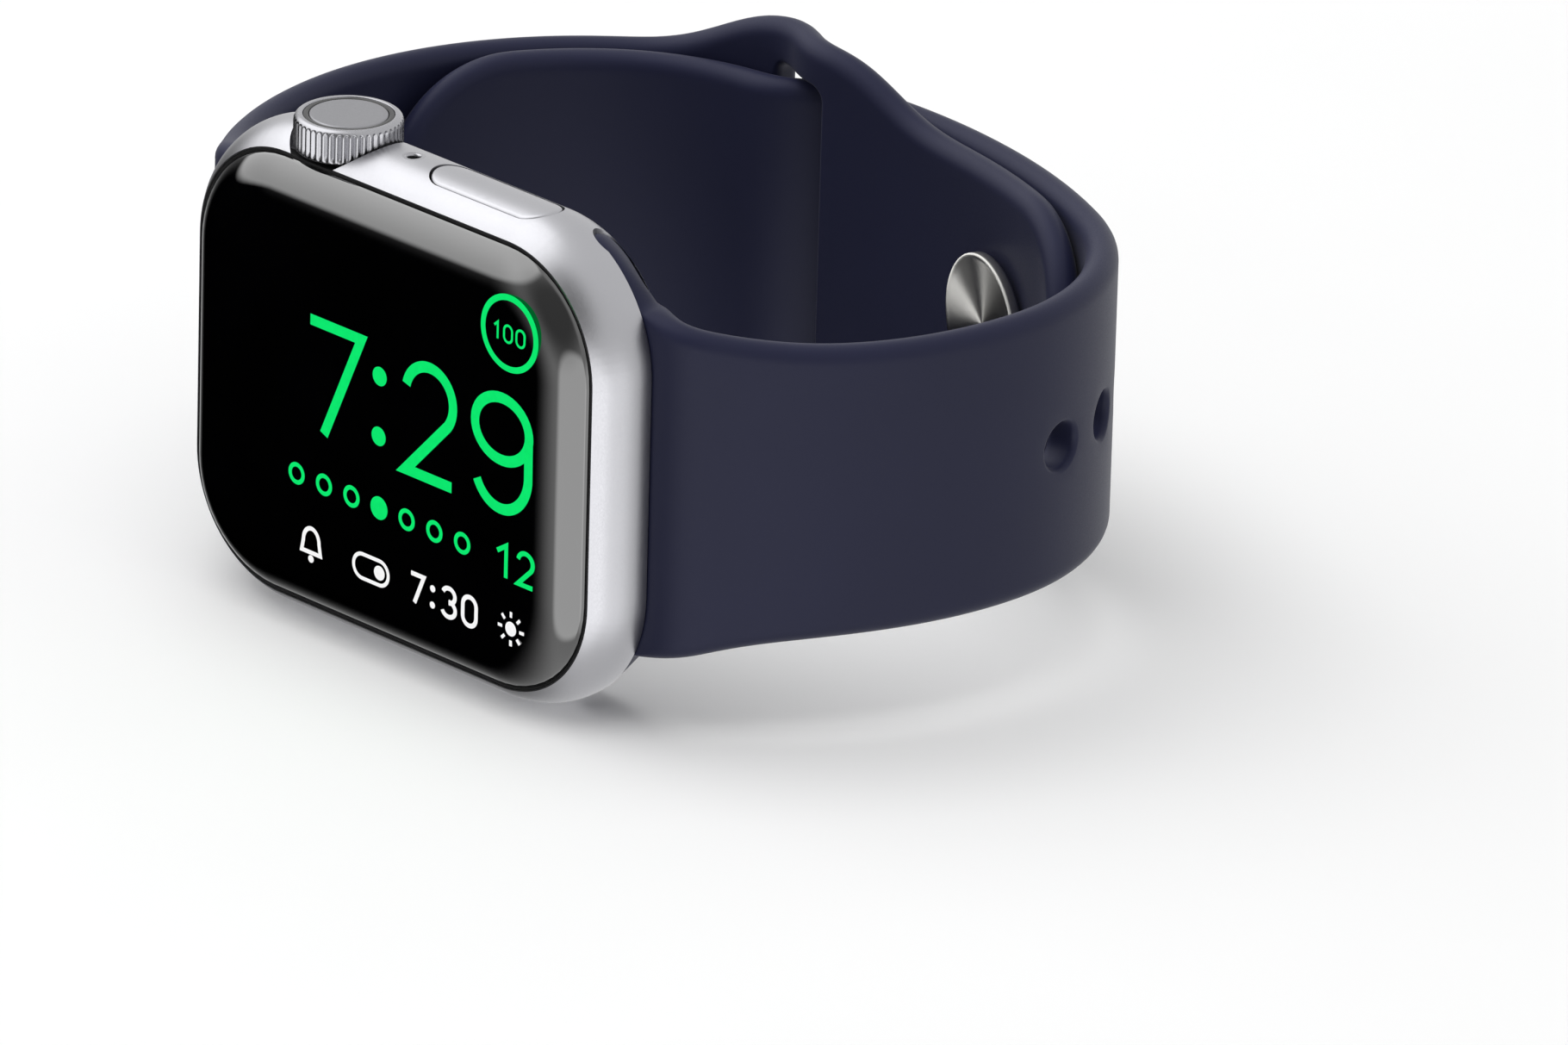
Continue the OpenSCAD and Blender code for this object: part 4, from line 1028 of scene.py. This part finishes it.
class WATCH_OT_crown(bpy.types.Operator):
    """Turns and knurls the crown, with its black ring and satin disc."""

    bl_idname = "watch.crown"
    bl_label = "Crown"

    def execute(self, context):
        size = control_sizes()
        edge, fit = size.crown_edge / MM, 0.02
        outer, deep, foot = crown_part("crown_barrel")
        ring_r, ring_deep, ring_foot = crown_part("crown_ring")
        disc_r, disc_deep, disc_foot = crown_part("crown_disc")
        seat_r = ring_r + fit
        turned = [(0, 0), (outer - 0.35, 0)] + round_off(outer - 0.3, 0.3, 0.3, -80, 0, 5)
        turned += [(outer, z) for z in np.linspace(0.45, deep - edge - 0.05, 9)]
        turned += [(outer - edge + edge * math.cos(a), deep - edge + edge * math.sin(a))
                   for a in np.linspace(0.12, math.pi / 2, 14)]
        turned += [(seat_r + 0.04, deep), (seat_r, deep - 0.04), (seat_r, deep - 0.5), (0, deep - 0.5)]
        stop = deep - 0.36 * edge

        def knurled(r, z, angle):
            """Cuts the grooves, which run out before the rounded edge and the foot."""
            if r < seat_r * MM * 1.01:
                return r
            groove = (0.5 + 0.5 * math.cos(size.knurl_teeth * angle)) ** 1.6
            fade = float(ease(z, 0.12 * MM, 0.4 * MM) * (1 - ease(z, (stop - 0.22) * MM, stop * MM)))
            return r - size.knurl_depth * groove * fade

        vertices, faces = lathe(in_metres(turned), 8 * size.knurl_teeth, knurled)
        add_piece("crown_knurled", vertices, faces, finish("aluminium_turned"), "crown", "crown_aluminium",
                  ["crown_barrel"], foot, sharp=60)
        ring_in = disc_r + fit
        ring = [(ring_in, 0), (ring_r, 0)] + round_off(ring_r - 0.06, ring_deep - 0.06, 0.06, 0, 90, 4)
        ring += round_off(ring_in + 0.06, ring_deep - 0.06, 0.06, 90, 180, 4)
        add_piece("crown_ring_gloss", *lathe(in_metres(ring), 96), finish("zirconia_gloss"), "crown",
                  "crown_ring", ["crown_ring"], ring_foot)
        # The disc is a little hollow, so that its sheen moves from its edge to its middle
        dip = 0.012
        disc = [(0, 0), (disc_r, 0), (disc_r, disc_deep - 0.1)]
        disc += round_off(disc_r - 0.12, disc_deep - 0.1, 0.1, 20, 90, 5)
        disc += [(disc_r * k, disc_deep - dip * (1 - k)) for k in (0.8, 0.6, 0.4, 0.2)]
        disc += [(0, disc_deep - dip)]
        add_piece("crown_face", *lathe(in_metres(disc), 96), finish("aluminium_satin"), "crown",
                  "crown_aluminium", ["crown_disc"], disc_foot, sharp=50)
        refinish(["crown_shaft", "crown_clip"], "steel_turned")
        refinish(["crown_bushing"], "brass_plated")
        refinish(["crown_thrust_pad"], "acetal_machined")
        return {"FINISHED"}


class WATCH_OT_side_button(bpy.types.Operator):
    """Makes the side button, whose top follows the round side of the case, and its plunger."""

    bl_idname = "watch.side_button"
    bl_label = "Side button"

    def execute(self, context):
        low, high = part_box("side_button")
        edge = control_sizes().button_edge
        outline = stadium_loop(BUTTON.x, BUTTON.y, high.x - low.x, high.y - low.y)
        foot = CASE_HALF_W - 1.35 * MM
        grid = grid_points(low.x, high.x, low.y, high.y, 0.45 * MM, 0.35 * MM)
        cap = moulded_slab([outline], [edge], [edge * 0.8], grid,
                           lambda u, v: case_half_width(u, v) - 0.01 * MM, lambda u, v: 0 * u + foot,
                           lambda u, v, height: np.stack([u, v, MID_Z + height], 1), 0.35 * MM)
        # The plunger under it, with the groove of its clip
        end, top = low.z / MM, (MID_Z + foot) / MM + 0.2
        stem_r, groove_r = 0.6, 0.4
        plunger = [(0, end), (0.5, end), (stem_r, end + 0.1), (stem_r, end + 0.38), (groove_r, end + 0.38),
                   (groove_r, end + 0.7), (stem_r, end + 0.7), (stem_r, top), (0, top)]
        rod, sides = lathe(in_metres(plunger), 40)
        rod = [(x + BUTTON.x, y + BUTTON.y, z) for x, y, z in rod]
        add_piece("side_button_cap", *joined([cap, (rod, sides)]), finish("aluminium_bead_blasted"),
                  "side_key", "case_aluminium", ["side_button"], sharp=50)
        refinish(["side_button_clip"], "steel_turned")
        return {"FINISHED"}


def stud_place():
    """Where the stud stands: Z points out of the loop along its pin, and X along the strap."""
    paths = strap_paths()
    x, y, heading = follow(paths["long"])(strap_sizes().stud_at)
    along = Vector((math.cos(heading), math.sin(heading), 0))
    out = Vector((math.sin(heading), -math.cos(heading), 0))
    place = Matrix((along, out.cross(along), out)).transposed().to_4x4()
    place.translation = (x, y, MID_Z)
    return place


class WATCH_OT_stud(bpy.types.Operator):
    """Spins the stud: its dished disc inside the loop, and its pin with a round cap outside."""

    bl_idname = "watch.stud"
    bl_label = "Stud"

    def execute(self, context):
        size = strap_sizes()
        place = stud_place()
        dish = control_sizes().stud_dish / MM
        # The disc's two faces, near to the strap and far from it
        near = -(size.thickness * 1.5 + size.layer_gap) / MM - 0.4
        far, r = near - 0.9, 4.85
        face = [(r * k, far + dish * (1 - k ** 2) ** 1.3) for k in (0.2, 0.4, 0.55, 0.68, 0.78, 0.86)]
        disc = [(0, far + dish)] + face + [(4.45, far + 0.02), (4.55, far)]
        disc += round_off(r - 0.2, far + 0.2, 0.2, -75, 0, 6)
        disc += round_off(r - 0.25, near - 0.25, 0.25, 0, 90, 6)
        disc += [(1.2, near), (1.2, near - 0.4), (0, near - 0.4)]
        add_piece("stud_plate", *lathe(in_metres(disc), 128), finish("steel_spun"), "strap", "stud_metal",
                  ["stud_disc"], place, sharp=60)
        # The pin's neck in the hole, and its cap outside the strap
        top = size.thickness / 2 / MM + 0.12
        pin = [(0, near - 0.38), (0.98, near - 0.38), (0.98, near), (1.5, near + 0.02), (1.5, top)]
        pin += [(2.05, top), (2.62, top + 0.12)] + round_off(2.45, top + 0.42, 0.3, -45, 60, 6)
        pin += [(2.3, top + 0.86), (1.9, top + 1.0), (1.4, top + 1.07), (0.7, top + 1.1), (0, top + 1.1)]
        add_piece("stud_post", *lathe(in_metres(pin), 96), finish("steel_spun"), "strap", "stud_metal",
                  ["stud_pin"], place, sharp=50)
        return {"FINISHED"}


class WATCH_OT_back(bpy.types.Operator):
    """Makes the sensor crystal and the two release buttons in the back of the case."""

    bl_idname = "watch.back"
    bl_label = "Back"

    def execute(self, context):
        low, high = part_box("sensor_crystal")
        centre = middle("sensor_crystal")
        # The crystal's own Z points towards the wrist
        place = Matrix(((1, 0, 0, centre.x), (0, 0, 1, low.y), (0, -1, 0, centre.z), (0, 0, 0, 1)))
        r, tall = (high.x - low.x) / 2 / MM, (high.y - low.y) / MM
        # The dome's rise over its rim, and the room under it for the sensor board
        sag = 1.75
        room = [(0, 0.92), (9.3, 0.92), (9.3, 0)]
        dome_r = (r ** 2 + sag ** 2) / (2 * sag)
        reach = math.asin((r - 0.08) / dome_r)
        dome = [(dome_r * math.sin(a), tall - dome_r * (1 - math.cos(a))) for a in np.linspace(reach, 0, 26)]
        vertices, faces = lathe(in_metres(room + [(r, 0), (r, tall - sag - 0.06)] + dome), 144)
        add_piece("sensor_dome", vertices, faces, finish("ceramic_ringed"), "case", "back_crystal",
                  ["sensor_crystal"], place, sharp=40)
        for end in ("12", "6"):
            low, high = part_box("release_button_" + end)
            spot = (low + high) / 2
            outline = stadium_loop(0, 0, high.z - low.z, high.x - low.x, 0.2 * MM)
            grid = grid_points(-1.5 * MM, 1.5 * MM, -0.6 * MM, 0.6 * MM, 0.3 * MM, 0.3 * MM)
            vertices, faces = moulded_slab([outline], [0.2 * MM], [0.16 * MM], grid,
                                           lambda u, v: 0 * u + high.y, lambda u, v: 0 * u + low.y,
                                           lambda u, v, height: np.stack([spot.x + v, height, spot.z + u], 1),
                                           0.3 * MM, 5)
            add_piece("release_cap_" + end, vertices, faces, finish("aluminium_bead_blasted"),
                      "release_" + end, "case_aluminium", ["release_button_" + end], sharp=50)
        return {"FINISHED"}


INNER_FINISHES = {
    "display_panel": "glass_black_printed", "display_flex": "polyimide_film", "main_board": "solder_mask",
    "board_screws": "steel_turned", "battery": "pouch_wrapped", "battery_flex": "polyimide_film",
    "haptic_housing": "nickel_plated", "haptic_mass": "tungsten_sintered", "haptic_springs": "steel_turned",
    "speaker_module": "nylon_moulded", "speaker_mesh": "mesh_woven", "microphone": "brass_plated",
    "mic_mesh": "mesh_woven", "sensor_board": "solder_mask", "charging_coil": "copper_wound",
    "charging_magnet": "nickel_plated", "crown_seal": "nitrile_moulded", "crown_encoder": "nylon_moulded",
    "crown_switch": "nickel_plated", "side_button_seal": "nitrile_moulded",
    "side_button_switch": "nickel_plated", "button_bracket": "steel_turned", "lug_core_12": "steel_turned",
    "lug_core_6": "steel_turned", "lug_catch_12": "steel_turned", "lug_catch_6": "steel_turned",
    "lug_spring_12": "steel_turned", "lug_spring_6": "steel_turned",
}


class WATCH_OT_inside(bpy.types.Operator):
    """Finishes the parts inside the case and the lugs."""

    bl_idname = "watch.inside"
    bl_label = "Inside"

    def execute(self, context):
        for node, name in INNER_FINISHES.items():
            refinish([node], name)
        return {"FINISHED"}


def softbox(name, place, aim, size, energy):
    """A rectangular area light that points at a spot and shows in no reflection."""
    data = bpy.data.lights.new(name, "AREA")
    data.shape, data.size, data.size_y, data.energy = "RECTANGLE", size[0], size[1], energy
    lamp = bpy.data.objects.new(name, data)
    bpy.context.scene.collection.objects.link(lamp)
    lamp.location = place
    lamp.rotation_mode = "QUATERNION"
    lamp.rotation_quaternion = (Vector(aim) - Vector(place)).to_track_quat("-Z", "Y")
    lamp.visible_glossy = False


class WATCH_OT_stage(bpy.types.Operator):
    """Sets up the pale floor, the soft studio light and the camera."""

    bl_idname = "watch.stage"
    bl_label = "Stage"

    def execute(self, context):
        scene = context.scene
        mesh = bpy.data.meshes.new("floor")
        shape = bmesh.new()
        bmesh.ops.create_grid(shape, x_segments=8, y_segments=8, size=6)
        shape.to_mesh(mesh)
        shape.free()
        floor = bpy.data.objects.new("floor", mesh)
        scene.collection.objects.link(floor)
        floor.location.z = -0.01 * MM
        made, tree, shader = start_material("emulsion_painted", Roughness=0.9)
        base = full(colours().floor)
        tinted(tree, shader, grain(tree, 40), shade(base, 0.985), base)
        mesh.materials.append(made)
        floor.visible_glossy = False
        self.light(scene)
        self.place_camera(scene)
        return {"FINISHED"}

    def light(self, scene):
        """Lights the studio. Glossy surfaces see a world with walls, a curtain and softboxes in it."""
        world = bpy.data.worlds.new("studio")
        world.use_nodes = True
        tree = world.node_tree
        back = tree.nodes["Background"]
        place = add_node(tree, "ShaderNodeTexCoord")

        def facing(direction, low, high, value_low, value_high):
            """A value that changes from directions far from one direction to those close to it."""
            aligned = add_node(tree, "ShaderNodeVectorMath", {"operation": "DOT_PRODUCT"}, (),
                               {0: place.outputs["Generated"]})
            aligned.inputs[1].default_value = Vector(direction).normalized()
            return add_node(tree, "ShaderNodeMapRange", {"interpolation_type": "SMOOTHSTEP"},
                            {"From Min": low, "From Max": high, "To Min": value_low, "To Max": value_high},
                            {"Value": aligned.outputs["Value"]}).outputs["Result"]

        walls = facing((-0.3, 0.6, 0.75), -0.9, 0.6, 0.8, 0.95)
        for operation, *patch in (
                # A dark curtain low on the left, and the darker room in front
                ("MULTIPLY", (-0.85, -0.38, -0.36), 0.35, 0.88, 1.0, 0.0),
                ("MULTIPLY", (0.25, -0.84, 0.48), 0.72, 0.97, 1.0, 0.25),
                # Two softboxes, whose edges show in the rolled edges of the glass
                ("ADD", (-0.66, -0.30, 0.68), 0.76, 0.84, 0.0, 1.45),
                ("ADD", (0.56, -0.74, -0.38), 0.86, 0.92, 0.0, 1.25),
                # A pale reflector beside the case's end
                ("ADD", (0.92, -0.11, -0.38), 0.86, 0.98, 0.0, 0.7)):
            walls = add_node(tree, "ShaderNodeMath", {"operation": operation}, (),
                             {0: walls, 1: facing(*patch)}).outputs["Value"]
        ray = add_node(tree, "ShaderNodeLightPath")
        strength = add_node(tree, "ShaderNodeMix", {"data_type": "FLOAT"}, {"A": 0.5},
                            {"Factor": ray.outputs["Is Glossy Ray"], "B": walls})
        seen = add_node(tree, "ShaderNodeMix", {"data_type": "FLOAT"}, {"B": 0.98},
                        {"Factor": ray.outputs["Is Camera Ray"], "A": strength.outputs["Result"]})
        tree.links.new(seen.outputs["Result"], back.inputs["Strength"])
        back.inputs["Color"].default_value = linear("#FFFFFF")
        scene.world = world
        aim = (0, 0.015, 0.01)
        softbox("overhead", (-0.1, -0.2, 1.3), aim, (1.4, 1.2), 10)
        softbox("left_wall", (-0.9, -0.35, 0.8), aim, (0.9, 0.9), 3.2)
        scene.view_settings.view_transform = "Standard"
        scene.view_settings.look = "None"
        scene.view_settings.exposure = 0.0

    def place_camera(self, scene):
        """Sets up the camera from its angles and its distance to the aim."""
        view = scene.watch_camera
        data = bpy.data.cameras.new("camera")
        data.sensor_width, data.lens = 36, view.lens
        data.clip_start, data.clip_end = 0.01, 50
        camera = bpy.data.objects.new("camera", data)
        scene.collection.objects.link(camera)
        a, e = view.azimuth, view.elevation
        back = Vector((math.sin(a) * math.cos(e), -math.cos(a) * math.cos(e), math.sin(e)))
        camera.rotation_mode = "QUATERNION"
        turn = (-back).to_track_quat("-Z", "Y") @ Matrix.Rotation(-view.roll, 3, "Z").to_quaternion()
        camera.location = Vector(view.aim) + back * view.distance
        camera.rotation_quaternion = turn
        scene.camera = camera


class WATCH_PT_build(bpy.types.Panel):
    """Lists the pieces of the watch and their sizes."""

    bl_idname = "WATCH_PT_build"
    bl_label = "Smartwatch"
    bl_space_type = "VIEW_3D"
    bl_region_type = "UI"
    bl_category = "Smartwatch"

    def draw(self, context):
        """Draws the properties, and a button for each operator."""
        scene = context.scene
        for group in (scene.watch_strap, scene.watch_controls, scene.watch_colours, scene.watch_camera):
            box = self.layout.box()
            for name in group.__annotations__:
                box.prop(group, name)
        for step in STEPS:
            self.layout.operator(step.bl_idname)


STEPS = (WATCH_OT_stage, WATCH_OT_case, WATCH_OT_cover_glass, WATCH_OT_display, WATCH_OT_strap_long,
         WATCH_OT_strap_short, WATCH_OT_crown, WATCH_OT_side_button, WATCH_OT_stud, WATCH_OT_back,
         WATCH_OT_inside)
GROUPS = {"watch_strap": StrapSizes, "watch_controls": ControlSizes, "watch_colours": FinishColours,
          "watch_camera": CameraView}
CLASSES = (*GROUPS.values(), *STEPS, WATCH_PT_build)


def register():
    """Registers the classes, and puts the properties on the scene."""
    for made in CLASSES:
        bpy.utils.register_class(made)
    for name, group in GROUPS.items():
        setattr(bpy.types.Scene, name, bpy.props.PointerProperty(type=group))


def unregister():
    """Takes the properties and the classes away again."""
    for name in GROUPS:
        delattr(bpy.types.Scene, name)
    for made in reversed(CLASSES):
        bpy.utils.unregister_class(made)


def main():
    """Builds all pieces and the stage."""
    register()
    for step in STEPS:
        area, name = step.bl_idname.split(".")
        getattr(getattr(bpy.ops, area), name)()


if __name__ == "__main__":
    main()
